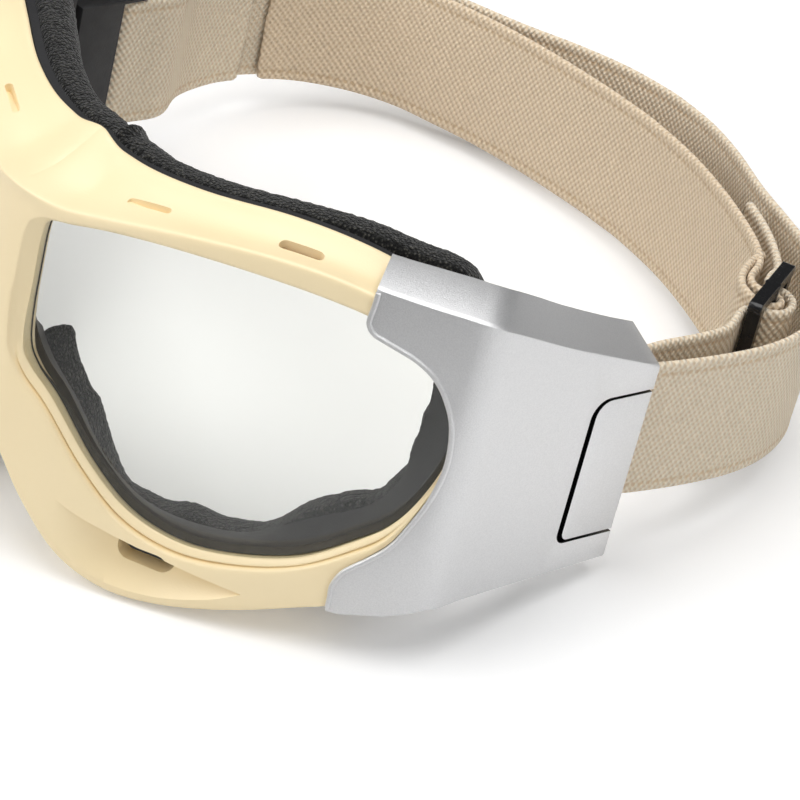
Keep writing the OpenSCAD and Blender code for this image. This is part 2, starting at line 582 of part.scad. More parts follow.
module arm_screw_right() color([0.6, 0.6, 0.62]) stand() side(false) arm_screw();
module clip_left() color([0.1, 0.1, 0.11]) stand() side(true) clip();
module clip_right() color([0.1, 0.1, 0.11]) stand() side(false) clip();
module anchor_pin_left() color([0.65, 0.65, 0.66]) stand() side(true) anchor_pin();
module anchor_pin_right() color([0.65, 0.65, 0.66]) stand() side(false) anchor_pin();
module button_left() color([0.72, 0.72, 0.75]) stand() side(true) button();
module button_right() color([0.72, 0.72, 0.75]) stand() side(false) button();
module button_spring_left() color([0.5, 0.5, 0.52]) stand() side(true) button_spring();
module button_spring_right() color([0.5, 0.5, 0.52]) stand() side(false) button_spring();
module slider_left() color([0.08, 0.08, 0.08]) stand() side(true) slider();

front_frame();
lens_left();
lens_right();
lens_seal_left();
lens_seal_right();
carrier();
face_foam();
brow_filter_left();
brow_filter_right();
cheek_mesh_left();
cheek_mesh_right();
arm_left();
arm_right();
arm_cover_left();
arm_cover_right();
arm_screw_left();
arm_screw_right();
clip_left();
clip_right();
anchor_pin_left();
anchor_pin_right();
button_left();
button_right();
button_spring_left();
button_spring_right();
slider_left();
outer_strap();
inner_strap();
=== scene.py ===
# %% [markdown]
# # Protective sports glasses
# These glasses have a curved cream front, clear lenses, foam against the face, silver side
# arms and a webbing strap. The imported CAD model is the frame that every piece here is built
# on. We load it first.

# %% Load the CAD frame
import math

import bmesh
import bpy
from mathutils import Matrix, Vector


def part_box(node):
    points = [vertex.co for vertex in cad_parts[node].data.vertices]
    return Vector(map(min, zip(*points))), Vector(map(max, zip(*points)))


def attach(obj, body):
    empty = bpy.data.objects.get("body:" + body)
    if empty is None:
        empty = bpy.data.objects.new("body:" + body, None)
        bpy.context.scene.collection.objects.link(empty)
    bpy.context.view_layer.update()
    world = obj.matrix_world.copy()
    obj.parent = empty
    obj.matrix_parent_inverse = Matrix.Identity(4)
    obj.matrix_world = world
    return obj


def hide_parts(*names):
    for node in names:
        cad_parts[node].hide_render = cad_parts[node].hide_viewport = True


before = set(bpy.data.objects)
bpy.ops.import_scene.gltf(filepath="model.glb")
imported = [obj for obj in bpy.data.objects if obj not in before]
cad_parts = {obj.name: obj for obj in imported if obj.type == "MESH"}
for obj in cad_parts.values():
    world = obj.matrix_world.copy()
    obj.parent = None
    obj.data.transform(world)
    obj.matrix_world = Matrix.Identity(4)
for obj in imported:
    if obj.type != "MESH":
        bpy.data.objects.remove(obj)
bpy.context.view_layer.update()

# %% [markdown]
# The glasses are easiest to describe as worn: level, in millimetres, with the nose at the
# origin. At rest they lean back, because the rear of the strap lies on the table. So every
# point is worked out as worn and then stood up by one function. The lean follows from where
# the cheeks and the strap touch the table, as in the CAD source.

# %% From worn millimetres to the rest pose in metres
strap_low, strap_wide, strap_thick = 23.7, 24.5, 1.4
strap_reach, cheek_contact, rest_flat = 151 + strap_thick / 2, 21.8, 0.5
foot_span = math.hypot(strap_low, strap_reach - cheek_contact)
lean = math.atan(strap_low / (strap_reach - cheek_contact)) - math.asin(rest_flat / foot_span)
lift = cheek_contact * math.sin(lean) - rest_flat
rear = strap_reach * math.cos(lean) + (strap_low + strap_wide) * math.sin(lean)
middle = rear - 1000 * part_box("outer_strap")[1].y


def turned(v):
    """A worn direction, leaned back."""
    c, s = math.cos(lean), math.sin(lean)
    return Vector((v[0], v[1] * c + v[2] * s, -v[1] * s + v[2] * c))


def worn(p):
    """The worn place, in millimetres, of a point of the standing glasses."""
    c, s = math.cos(lean), math.sin(lean)
    y, z = p[1] * 1000 + middle, p[2] * 1000 - lift
    return p[0] * 1000, y * c - z * s, y * s + z * c


def stood(p):
    """A worn point in millimetres, set down on the table, in metres."""
    return (turned(p) + Vector((0, -middle, lift))) * 0.001


print("lean", round(math.degrees(lean), 2), "degrees, middle", round(middle, 2), "mm")

# %% [markdown]
# The photograph looks down at the wearer's left side from close by, with the camera rolled a
# little. The camera's place was fitted to straight edges of the arm and the strap, so it is
# given here as worn too, and leans back with the glasses.

# %% Camera
look_round, look_down, roll = math.radians(40.5), math.radians(31), math.radians(14.5)
eye = (349.58, -309.99, 320.0)
back = Vector((math.sin(look_round) * math.cos(look_down),
               -math.cos(look_round) * math.cos(look_down), math.sin(look_down)))
level = Vector((math.cos(look_round), math.sin(look_round), 0))
upward = back.cross(level)
right = math.cos(roll) * level + math.sin(roll) * upward
top = math.cos(roll) * upward - math.sin(roll) * level
bpy.ops.object.camera_add()
camera = bpy.context.object
camera.name = "camera"
camera.data.sensor_width = 36
camera.data.lens = 162
camera.data.clip_start = 0.01
axes = Matrix([turned(right), turned(top), turned(back)]).transposed().to_4x4()
camera.matrix_world = Matrix.Translation(stood(eye)) @ axes
bpy.context.scene.camera = camera
print("camera at", [round(x, 3) for x in stood(eye)], "m")

# %% [markdown]
# The glasses stand on a white table. It is a little lighter for the camera than for the
# glasses, so it reads as white and keeps its shadow. In reflections it darkens towards the
# front, which gives the silver and the lenses some form.

# %% Table
bpy.context.scene.view_settings.view_transform = "Standard"


def plain_node(tree, kind, **sockets):
    """A node of a tree, with fixed values on some of its sockets."""
    made = tree.nodes.new(kind)
    for name, value in sockets.items():
        made.inputs[name.replace("_", " ")].default_value = value
    return made


def mixed(tree, amount, first, second):
    """Two shaders mixed: an amount of 0 gives the first, and 1 the second."""
    made = tree.nodes.new("ShaderNodeMixShader")
    for source, socket in zip((amount, first, second), made.inputs):
        tree.links.new(source, socket)
    return made.outputs[0]


bpy.ops.mesh.primitive_plane_add(size=6, location=(0, 0, 0))
table = bpy.context.object
table.name = "table_top"
table.data.materials.append(bpy.data.materials.new("white_table"))
surface = table.data.materials[0]
surface.use_nodes = True
tree = surface.node_tree
tree.nodes.clear()
paper = plain_node(tree, "ShaderNodeBsdfDiffuse", Color=(0.9, 0.9, 0.9, 1))
glow = plain_node(tree, "ShaderNodeEmission", Color=(1, 1, 1, 1), Strength=0.17)
lifted = tree.nodes.new("ShaderNodeAddShader")
tree.links.new(paper.outputs[0], lifted.inputs[0])
tree.links.new(glow.outputs[0], lifted.inputs[1])
spot = tree.nodes.new("ShaderNodeTexCoord")
spot_split = tree.nodes.new("ShaderNodeSeparateXYZ")
dimmer = plain_node(tree, "ShaderNodeMapRange", From_Min=-0.17, From_Max=0.0, To_Min=0.3, To_Max=0.97)
reflected = tree.nodes.new("ShaderNodeBsdfDiffuse")
tree.links.new(spot.outputs["Object"], spot_split.inputs[0])
tree.links.new(spot_split.outputs[1], dimmer.inputs["Value"])
tree.links.new(dimmer.outputs[0], reflected.inputs["Color"])
ray = tree.nodes.new("ShaderNodeLightPath")
lit = mixed(tree, ray.outputs["Is Glossy Ray"], paper.outputs[0], reflected.outputs[0])
shown = mixed(tree, ray.outputs["Is Camera Ray"], lit, lifted.outputs[0])
output = tree.nodes.new("ShaderNodeOutputMaterial")
tree.links.new(shown, output.inputs[0])
print("table material:", len(tree.nodes), "nodes")

# %% [markdown]
# The room is brighter on one side than on the other, and three large soft lamps give the
# plain studio light. Each lamp is turned to face the place that it lights.

# %% Room and lamps
world = bpy.data.worlds.new("studio")
bpy.context.scene.world = world
world.use_nodes = True
room = world.node_tree
gaze = room.nodes.new("ShaderNodeTexCoord")
turn = plain_node(room, "ShaderNodeMapping", Rotation=(0, 0, math.radians(50)))
gaze_split = room.nodes.new("ShaderNodeSeparateXYZ")
shade = plain_node(room, "ShaderNodeMapRange", From_Min=-0.7, From_Max=0.8, To_Min=1.0, To_Max=0.34)
room.links.new(gaze.outputs["Generated"], turn.inputs["Vector"])
room.links.new(turn.outputs[0], gaze_split.inputs[0])
room.links.new(gaze_split.outputs[1], shade.inputs["Value"])
room.links.new(shade.outputs[0], room.nodes["Background"].inputs["Strength"])


def lamp(name, place, aim, size, power):
    """A square soft lamp that faces a point."""
    bpy.ops.object.light_add(type="AREA", location=place)
    made = bpy.context.object
    made.name = name
    made.data.size = size
    made.data.energy = power
    made.rotation_euler = (Vector(place) - Vector(aim)).to_track_quat("Z", "Y").to_euler()


lamp("overhead", (0.05, 0.1, 0.9), (0, 0, 0), 0.9, 7.8)
lamp("front", (-0.5, -0.7, 0.6), (0, 0, 0.03), 0.8, 6)
lamp("side", (0.9, -0.2, 0.45), (0, 0, 0.03), 0.7, 2.5)
print("room and three lamps")

# %% [markdown]
# The front is a sheet bent round the face, so its pieces are described by the distance along
# its plan curve, the height, and the depth behind its outer surface. The curve is a small arc
# at the nose and a long arc to the temple. It goes on as the corner of the arm.

# %% The front's curve
nose_r, nose_turn, temple_turn, temple_x, corner_r, arm_len = 14, 20, 40, 64, 7, 35.7
nose_front = 2  # where the curve starts in Y, at the nose
even_s = 20  # up to this length from the nose, the depth's direction turns evenly


def sin(degrees):
    return math.sin(math.radians(degrees))


def cos(degrees):
    return math.cos(math.radians(degrees))


arc_r = (temple_x - nose_r * sin(nose_turn)) / (sin(temple_turn) - sin(nose_turn))
nose_x, nose_y = nose_r * sin(nose_turn), nose_front + nose_r * (1 - cos(nose_turn))
s_nose = nose_r * math.radians(nose_turn)
s_temple = s_nose + arc_r * math.radians(temple_turn - nose_turn)
s_arm = s_temple + corner_r * math.radians(90 - temple_turn)
s_end = s_arm + arm_len


def lookup(x, pairs):
    """Straight-line interpolation in a short list of (x, value)."""
    if x <= pairs[0][0]:
        return pairs[0][1]
    for (x0, y0), (x1, y1) in zip(pairs, pairs[1:]):
        if x <= x1:
            return y0 + (y1 - y0) * (x - x0) / (x1 - x0)
    return pairs[-1][1]


def heading(s):
    """The direction of the front's curve at length s, in degrees."""
    a = abs(s)
    h = math.degrees(a / nose_r) if a <= s_nose else nose_turn + math.degrees((a - s_nose) / arc_r)
    return math.copysign(h, s)


def front_xy(s):
    """The front's curve in plan at length s."""
    h, side = abs(heading(s)), math.copysign(1, s)
    if abs(s) <= s_nose:
        return side * nose_r * sin(h), nose_front + nose_r * (1 - cos(h))
    return (side * (nose_x + arc_r * (sin(h) - sin(nose_turn))),
            nose_y + arc_r * (cos(nose_turn) - cos(h)))


def shell(s, z, d):
    """A worn point of the front at length s and height z, d behind its outer surface."""
    x, y = front_xy(s)
    h = s / even_s * heading(even_s) if abs(s) < even_s else heading(s)
    return (x - d * sin(h), y + d * cos(h), z)


print("length of the curve to the temple:", round(s_temple, 1), "mm, to the arm:", round(s_arm, 1), "mm")

# %% [markdown]
# The lens opening and the outer edge of the front are not parallel, so the front's section
# changes all the way round. Its stations are the CAD source's own, and a smooth curve through
# them gives as many sections as the surface needs.

# %% Stations round one eye
deep, per_station = 10.5, 6

# Each row has the length and height at the lens opening, the length and height at the outer
# edge, the depth, how far the rear edge is raised, and how far back the front face starts.
stations = [
    (5.2, 45, -2, 45, 7, 0, 0), (5.3, 54, -2, 55, 7.5, 0, 0),
    (6.6, 57, -2, 60.6, deep + 5, 5.9, 0), (11, 58.3, 8, 60.7, deep + 3, 5.6, 0),
    (18, 59.9, 17, 62.4, deep + 1, 4.1, 0), (28, 61.3, 28, 64.5, deep, 2.6, 0),
    (40, 62.1, 41, 66.1, deep, 2.1, 0), (51, 62, 52, 66.2, deep, 1.6, 0),
    (60, 60.9, 61.5, 64.6, deep, 1.3, 0), (67.3, 58, 69.4, 61.4, deep, 0.6, 0.6),
    (72.6, 51.5, 74.9, 53, deep, 0, 1.4), (74.4, 42, 76.9, 42, deep, 0, 1.7),
    (72.1, 33.4, 75.9, 31.5, deep, 0, 1.4), (68.6, 27.2, 72.4, 21, deep, 0, 0.5),
    (63.7, 22.6, 66, 13, deep, 0, 0), (56, 17, 57, 8.5, deep, 0, 0),
    (46, 13.5, 46.5, 4, deep, 0, 0), (37, 12.4, 36, 0.8, deep, 0, 0),
    (28, 14.6, 27, 0, deep, 0, 0), (20, 20.4, 18.5, 2.7, deep, 0, 0),
    (12.3, 28, 11, 9.5, deep - 0.5, 0, 0), (7.3, 31.9, 5.5, 16.5, deep - 1, 0, 0),
    (5.3, 36, -2, 24, deep - 1.5, 0, 0),
]

# Round the face, a row ends with the depth at which the carrier starts, how far it reaches
# into the opening, and how far its outer edge is drawn in.
face = [(0, 58.4, 0, 61.2, deep + 5.4, 5.4, deep + 5.3, 2, 0)]
for i in range(3, 22):
    reach = lookup(i, [(3, 5), (4, 8), (5, 7.4), (6, 4.4), (7, 2.6), (8, 3), (10, 5.8), (11, 6.4),
                       (12, 5), (13, 2.2), (14, 0.4), (15, 1.6), (16, -2), (17, -3), (18, -6),
                       (19, -8.5), (20, -8), (21, -6.4)])
    drawn_in = lookup(i, [(6, 0), (8, -2), (9, -4.5), (10, -4), (11, -2), (12, 0), (15, 1.6),
                          (18, 2.4), (20, 2.8), (21, 2)])
    starts = {3: deep + 2.9, 4: 9}.get(i, 6.1)
    face.append(stations[i][:6] + (starts, reach, drawn_in))
face.append((0, 37, 0, 24, deep - 1, 0, 8.6, -5, 1.7))


def between(a, b, c, d, t):
    """A smooth step of the way from b to c, for each value of a station."""
    return tuple(0.5 * (2 * q + (r - p) * t + (2 * p - 5 * q + 4 * r - s) * t * t
                        + (3 * q - p - 3 * r + s) * t ** 3) for p, q, r, s in zip(a, b, c, d))


def smooth_loop(rows, n):
    """A smooth closed curve through all rows, in n steps from each row to the next."""
    m = len(rows)
    return [between(rows[i - 1], rows[i], rows[(i + 1) % m], rows[(i + 2) % m], k / n)
            for i in range(m) for k in range(n)]


def smooth_path(rows, n):
    """The same as an open curve, from the first row to the last."""
    m = len(rows)
    made = [between(rows[max(i - 1, 0)], rows[i], rows[i + 1], rows[min(i + 2, m - 1)], k / n)
            for i in range(m - 1) for k in range(n)]
    return made + [tuple(rows[-1])]


rings = smooth_loop(stations, per_station)
half = smooth_path(face, per_station)
face_rings = half + [(-t[0], t[1], -t[2]) + t[3:] for t in half[-2:0:-1]]


def wide(t):
    """The distance from the lens opening to the outer edge at a station."""
    return math.hypot(t[2] - t[0], t[3] - t[1])


def from_opening(t, q):
    """The length and height at a distance q from the lens opening towards the outer edge."""
    w = wide(t)
    return t[0] + (t[2] - t[0]) / w * q, t[1] + (t[3] - t[1]) / w * q


def ring_point(t, q, d, rise=0):
    """The worn point there, at a depth d and raised a little."""
    s, z = from_opening(t, q)
    return shell(s, z + rise, d)


print(len(rings), "sections round an eye,", len(face_rings), "round the face")

# %% [markdown]
# An operator acts on all that is selected. So a piece is selected by itself before it is
# edited, given a modifier or shaded, and these steps become small helpers.

# %% One piece at a time
def deselect():
    bpy.ops.object.select_all(action="DESELECT")


def pick_out(piece):
    """Makes a piece the only selected one, and the active one."""
    deselect()
    piece.select_set(True)
    bpy.context.view_layer.objects.active = piece


def edit(piece):
    """Opens a piece in edit mode, where faces are selected."""
    pick_out(piece)
    bpy.ops.object.mode_set(mode="EDIT")
    bpy.ops.mesh.select_mode(type="FACE")


def outward(piece):
    """Turns all faces of a closed piece outwards."""
    edit(piece)
    bpy.ops.mesh.select_all(action="SELECT")
    bpy.ops.mesh.normals_make_consistent(inside=False)
    bpy.ops.object.mode_set(mode="OBJECT")
    return piece


def add_modifier(piece, kind, **settings):
    """Adds a modifier with its settings, and applies it."""
    pick_out(piece)
    added = piece.modifiers.new(kind.lower(), kind)
    for name, value in settings.items():
        setattr(added, name, value)
    bpy.ops.object.modifier_apply(modifier=added.name)
    return piece


def bevel(piece, width, segments=2, angle=40):
    """Rounds the edges that turn by more than an angle. The width is in metres."""
    return add_modifier(piece, "BEVEL", width=width, segments=segments, limit_method="ANGLE",
                        angle_limit=math.radians(angle))


def smooth(piece, angle=35):
    """Shades a piece smooth, apart from edges that turn by more than an angle."""
    pick_out(piece)
    bpy.ops.object.shade_smooth_by_angle(angle=math.radians(angle))
    return piece


print("helpers for one piece ready")

# %% [markdown]
# A torus already has the layout of a swept ring: a loop of small loops. So each ring-shaped
# piece starts as a torus primitive with the right counts, and its vertices are then set on
# the sections. An open bar, such as an arm, is the same torus with one slice taken out and
# its two ends filled.

# %% Rings and bars from a torus
def ring_piece(name, loops):
    """A closed ring through loops of worn points."""
    deselect()
    bpy.ops.mesh.primitive_torus_add(major_segments=len(loops), minor_segments=len(loops[0]))
    made = bpy.context.object
    made.name = name
    for vertex, place in zip(made.data.vertices, (p for loop in loops for p in loop)):
        vertex.co = stood(place)
    return made


def bar_piece(name, loops):
    """An open bar through loops of worn points, with both ends filled."""
    if len(loops) == 2:
        halfway = [tuple((a + b) / 2 for a, b in zip(p, q)) for p, q in zip(*loops)]
        loops = [loops[0], halfway, loops[1]]
    made = ring_piece(name, loops)
    edit(made)
    bpy.ops.mesh.select_all(action="DESELECT")
    mesh = bmesh.from_edit_mesh(made.data)
    for f in mesh.faces:
        if {v.index // len(loops[0]) for v in f.verts} == {0, len(loops) - 1}:
            f.select_set(True)
    bmesh.update_edit_mesh(made.data)
    bpy.ops.mesh.delete(type="ONLY_FACE")
    mesh = bmesh.from_edit_mesh(made.data)
    loose = [e for e in mesh.edges if not e.link_faces]
    bmesh.ops.delete(mesh, geom=loose, context="EDGES")
    ends = [e for e in mesh.edges if e.is_boundary]
    bmesh.ops.holes_fill(mesh, edges=ends, sides=0)
    bmesh.update_edit_mesh(made.data)
    bpy.ops.object.mode_set(mode="OBJECT")
    return outward(made)


print("rings and bars ready")

# %% [markdown]
# The front is one cream moulding. Its section has a rounded front lip, a hollow channel on
# the outside, a rear rim and a seat for the lens. It is made round one eye and subdivided.
# Once its holes are cut, it is cut at the nose and mirrored.

# %% Front frame
wall = 2
plain_lip = [(0, 0.9), (0.2, 0.62), (0.35, 0.45), (0.5, 0.32), (0.6, 0.25), (0.75, 0.12), (0.9, 0.05),
             (1.4, 0)]
ledge_lip = [(0, 1.95), (0.12, 1.7), (1.1, 1), (1.35, 1.1), (1.5, 1.9), (1.66, 1.9), (1.78, 0.45),
             (2.3, 0.02)]
bar_lip = [(0, 1.95), (0.1, 1.9), (0.3, 1.72), (0.8, 1.25), (1.2, 0.85), (1.6, 0.4), (1.75, 0.1),
           (2, 0)]


def wall_drop(t):
    """How much lower the wall's inner face ends than its outer one, where the edge is raised."""
    return wall * (1 - max(0, (t[3] - t[1]) / wide(t))) * (1 if t[5] > 0.05 else 0)


def frame_section(t, place):
    """The section at a station: a plain lip above, a ledge below, a bevel on the nose bar."""
    w, d, r, f = wide(t), t[4], t[5], t[6]
    inner = max(w - wall, 1.15)
    dent = 0.4 + min(1, r / 1.3) * max(0, min(1.2, w - 2.5))
    ledge = lookup(place, [(12.6, 0), (13.5, 0.6), (15, 0.45), (17, 0.9), (18, 1), (21, 1),
                           (21.7, 0.3)])
    bar = lookup(place, [(0, 1), (1, 0.9), (2, 0.3), (3, 0), (21.3, 0), (22, 1), (23, 1)])
    lip_at = []
    for (q, e), (q2, e2), (q3, e3) in zip(plain_lip, ledge_lip, bar_lip):
        q, e = q + (q2 - q) * ledge + (q3 - q) * bar, e + (e2 - e) * ledge + (e3 - e) * bar
        lip_at.append((min(q, w * 0.36 * q), min(f + e, 1.95), 0))
    at = lip_at + [
        (w - 1, f, 0), (w - 0.25, f + 0.2, 0), (w, f + 0.8, 0),
        (w - 0.1 - dent * 0.4, f + d * 0.28, r * 0.14), (w - dent, f + d * 0.5, r * 0.36),
        (w - dent * 0.4, d * 0.82, r * 0.77), (w, d - 1, r * 0.97), (w - 0.05, d - 0.2, r),
        (w - 0.5, d, r), (inner, d, r - wall_drop(t)), (min(inner, 2.6), 6, 0), (1.15, 5.8, 0),
        (1.15, 2.1, 0), (0, 2.1, 0)]
    return [ring_point(t, q, depth, rise) for q, depth, rise in at]


sections = [frame_section(t, i / per_station) for i, t in enumerate(rings)]
front = ring_piece("front_moulding", sections)
add_modifier(front, "SUBSURF", levels=2, render_levels=2)
print("frame round one eye:", len(front.data.polygons), "faces")

# %% [markdown]
# Each cheek has a leaf-shaped scoop round a vent hole. It sinks gently from its lower edge
# and ends in a steep wall under the lip. The cutter for it is a bar whose sections follow
# the leaf from the nose to its outer tip.

# %% Cheek scoops
leaf_low = [(16.3, 12.6), (16.6, 7.7), (20.6, 3.2), (27.7, 1.5), (36.1, 2.4), (44, 5.3),
            (49.3, 8.4)]
leaf_top = [(16.3, 12.6), (21.4, 11.1), (28.1, 10.2), (39.1, 9.1), (49.3, 8.4)]
leaf_depth = [(16.4, -0.1), (18, 0.1), (20, 0.5), (22, 1.2), (26, 2.8), (30, 3.4), (36, 3.3),
              (40, 2.7), (46, 1.5), (49.3, 0.2)]
hollow = [(0, 0), (0.12, 0.2), (0.3, 0.5), (0.5, 0.78), (0.7, 0.95), (0.85, 1), (0.95, 0.93),
          (1, 0.8)]


def closer_at_ends(a, b, n):
    """Places from a to b, in n steps that grow shorter towards both ends."""
    return [(a + b) / 2 - (b - a) / 2 * cos(180 * k / n) for k in range(n + 1)]


def cut_out(piece, cutter):
    """Takes one closed mesh out of another, and the cutter away."""
    add_modifier(piece, "BOOLEAN", operation="DIFFERENCE", solver="MANIFOLD", object=cutter)
    bpy.data.objects.remove(cutter)
    return piece


def scoop_bar():
    """The leaf as a bar whose underside is the scoop's floor."""
    lower, upper = smooth_path(leaf_low, 6), smooth_path(leaf_top, 6)
    loops = []
    for s in closer_at_ends(16.45, 49.25, 48):
        z0, z1, depth = lookup(s, lower), lookup(s, upper), lookup(s, leaf_depth)
        loops.append([shell(s, z0 - 0.4, -0.6)]
                     + [shell(s, z0 + (z1 - z0) * v, depth * share) for v, share in hollow]
                     + [shell(s, z1 + 0.1, -0.6)])
    return bar_piece("scoop_cutter", loops)


cut_out(front, scoop_bar())
print("front with a scoop:", len(front.data.polygons), "faces")

# %% [markdown]
# The vent slots in the brow and the holes in the cheeks are rounded at both ends. A bar with
# that outline cuts each of them: upright through the brow, and from front to back through
# the cheek.

# %% Vent slots and cheek holes
slot_d, slot_long, slot_top = 5.4, 7, 76
nose_slot, temple_slot = (20.5, 62.9, 1.2), (45.2, 56, 2)  # place, lower end and width
hole_s, hole_z, hole_long, hole_wide = 32.6, 7.7, 9.6, 4.32


def oval(long, across, steps=10):
    """Points of a slot's outline: two half circles joined by straight sides."""
    r = across / 2
    ends = [(long / 2 - r, -90), (r - long / 2, 90)]
    return [(x + r * cos(a + 180 * k / steps), r * sin(a + 180 * k / steps))
            for x, a in ends for k in range(steps + 1)]


def slot_bar(s, z0, z1, long, across):
    """A bar through the brow, upright."""
    h = heading(s)
    at = shell(s, 0, slot_d)
    return bar_piece("slot_cutter", [[(at[0] + u * cos(h) - v * sin(h),
                                       at[1] + u * sin(h) + v * cos(h), z)
                                      for u, v in oval(long, across)] for z in (z0, z1)])


def hole_bar(s, z, d0, d1, long, across):
    """A bar through the cheek, from front to back."""
    h = heading(s)
    loops = []
    for d in (d0, d1):
        at = shell(s, z, d)
        loops.append([(at[0] + u * cos(h), at[1] + u * sin(h), z + v) for u, v in oval(long, across)])
    return bar_piece("hole_cutter", loops)


for place, lower_end, width in (nose_slot, temple_slot):
    cut_out(front, slot_bar(place, lower_end, slot_top, slot_long, width))
cut_out(front, hole_bar(hole_s, hole_z, -2, 7, hole_long, hole_wide))
print("front with slots and a hole:", len(front.data.polygons), "faces")

# %% [markdown]
# The arm lies on the temple corner. It follows the front's curve, then goes round the corner
# and straight back. Points of its outer wall stand square to that curve. Deeper points turn
# more slowly round the corner, so that they don't run into each other there.

# %% The arm's curve
arm_wall, arm_proud, gap = 2, 0.5, 0.15
temple = front_xy(s_temple)
arm_x = temple[0] + corner_r * (1 - sin(temple_turn))
arm_y = temple[1] + corner_r * cos(temple_turn)
inner_turn = [(0, 0), (50, heading(50)), (62, heading(62)), (s_arm, 46), (s_arm + 9, 57),
              (s_arm + 20, 78), (s_arm + 29, 88), (s_end, 90)]


def arm_heading(s):
    """The direction of the arm's curve at length s, in degrees."""
    if s < s_temple:
        return heading(s)
    return min(90, temple_turn + math.degrees((min(s, s_arm) - s_temple) / corner_r))


def arm_xy(s):
    """The arm's curve in plan at length s."""
    if s <= s_temple:
        return front_xy(s)
    if s > s_arm:
        return arm_x, arm_y + s - s_arm
    h = arm_heading(s)
    return (temple[0] + corner_r * (sin(h) - sin(temple_turn)),
            temple[1] + corner_r * (cos(temple_turn) - cos(h)))


def arm_point(s, z, d):
    """A worn point of the arm at length s and height z, d inside the curve."""
    x, y = arm_xy(s)
    h = arm_heading(s) if d < arm_wall else lookup(s, inner_turn)
    return (x - d * sin(h), y + d * cos(h), z)


print("arm's outer face at x =", round(arm_x + arm_proud, 2), "mm")

# %% [markdown]
# The arm is a channel, open towards the head. Its section changes along its length, so its
# upper and lower edge, its depth and the rise of its top face are each a short list of places.
# The C-shaped front edge is cut out of it afterwards, and its lower prong ends further back.

# %% The arm's channel
crest = smooth_path([(56, 67.2), (66, 66.65), (73.6, 66.3), (77.6, 65.5), (83, 63.3), (90, 60.2),
                     (s_arm + 18, 57), (s_end, 50.2)], 8)
lower_edge = [(57, 10.4), (64.4, 10.5), (71, 12.3), (76.6, 14.8), (84, 15.1), (s_end, 13.8)]
channel_depth = [(62, 8.6), (s_temple, 9.1), (s_arm, 8.5), (s_arm + 4, 8.05), (s_arm + 9, 7.6),
                 (s_arm + 14, 7.4), (s_end, 7.4)]
top_rise = [(58, 1.3), (66, 1.6), (73.6, 1.6), (s_arm, 2), (87, 2.5), (s_arm + 18, 3), (s_end, 3.4)]
arm_stops = ([58.3 + 0.8 * k for k in range(19)]
             + [s_temple + (s_arm - s_temple) * k / 14 for k in range(15)]
             + [s_arm + 1 + (arm_len - 1) * k / 12 for k in range(13)])
notch_edge = [(56, 62), (58.3, 61.6), (58.6, 60.5), (59.6, 59.5), (62.1, 58.7), (66.4, 57.3),
              (69.6, 55.2), (72, 52), (73.8, 47.6), (74.4, 41.3), (73.5, 35.2), (71.7, 29.9),
              (69.6, 25.2), (67.1, 22.1), (64, 18.9), (62.9, 17), (62.45, 15.2), (56, 15)]
corner = notch_edge.index((74.4, 41.3))


def arm_section(s, grow):
    """The channel at length s, from its lower edge up the outer wall and back inside."""
    t, b, w, r = (lookup(s, edge) for edge in (crest, lower_edge, channel_depth, top_rise))
    o, i, v = -arm_proud, arm_wall - arm_proud + grow, arm_wall - 0.2 + grow
    at = [(b, o + 0.6), (b + 0.17, o + 0.17), (b + 0.6, o), (t - 0.75, o), (t - 0.35, o + 0.1),
          (t - 0.08, o + 0.38), (t + 0.06, o + 0.8), (t + r, w - 0.5),
          (t + r - 0.5, w), (t + r - v, w), (t - v + 0.3, i), (b + v, i), (b + v, w),
          (b + 0.3, w), (b, w - 0.4)]
    return [arm_point(s, z, d) for z, d in at]


def notch_bar(grow):
    """What the C-shaped front edge leaves out of the arm, as columns from bottom to top."""
    upper = smooth_path(notch_edge[:corner + 1], 6)
    lower = smooth_path(notch_edge[:corner - 1:-1], 6)
    loops = []
    for s in closer_at_ends(upper[0][0], upper[-1][0] - 0.02, 60):
        z0, z1 = lookup(s, lower) - grow, lookup(s, upper) + grow
        loops.append([shell(s + grow, z, d) for z, d in ((z0, -4), (z1, -4), (z1, 6), (z0, 6))])
    return bar_piece("notch_cutter", loops)


def lower_step(grow):
    """What the lower prong leaves free in front of it."""
    loops = [[shell(s, z, d) for z, d in ((-5, -6), (40, -6), (40, 18), (-5, 18))]
             for s in (50, 62.4 - grow)]
    return bar_piece("step_cutter", loops)


def arm_body(name, grow):
    """The whole arm. Grow thickens its walls inwards and brings its front edge forwards."""
    made = bar_piece(name, [arm_section(s, grow) for s in arm_stops])
    cut_out(made, notch_bar(-grow))
    return cut_out(made, lower_step(grow))


print(len(arm_stops), "sections along the arm")

# %% [markdown]
# The space that the arm needs is cut out of the front, with a small gap, and the front's edge
# above the arm goes with it. The moulding round one eye then ends at the nose, where its
# mirror image joins it.

# %% The arm's seat, and the other half
cut_out(front, arm_body("arm_seat_cutter", gap))
over_arm = [[shell(s, z, d) for z, d in ((66.2, -3), (66.2, 17), (80, 17), (80, -3))]
            for s in (58.15, 64, 70, 76, 84)]
cut_out(front, bar_piece("over_arm_cutter", over_arm))
edit(front)
bpy.ops.mesh.select_all(action="SELECT")
bpy.ops.mesh.bisect(plane_co=(0, 0, 0), plane_no=(1, 0, 0), clear_inner=True, threshold=0.000001)
bpy.ops.object.mode_set(mode="OBJECT")
add_modifier(front, "MIRROR", use_axis=(True, False, False), merge_threshold=0.00002)
smooth(front, 32)
print("both halves of the front:", len(front.data.polygons), "faces")

# %% [markdown]
# The lens is a bent plate whose outline follows the opening, tucked under the lip. A grid of
# columns, each from the lower to the upper edge, gives it a clean surface. The seal behind it
# is a thin ring. The filter pad in the brow's slot is a short bar, a little smaller than it.

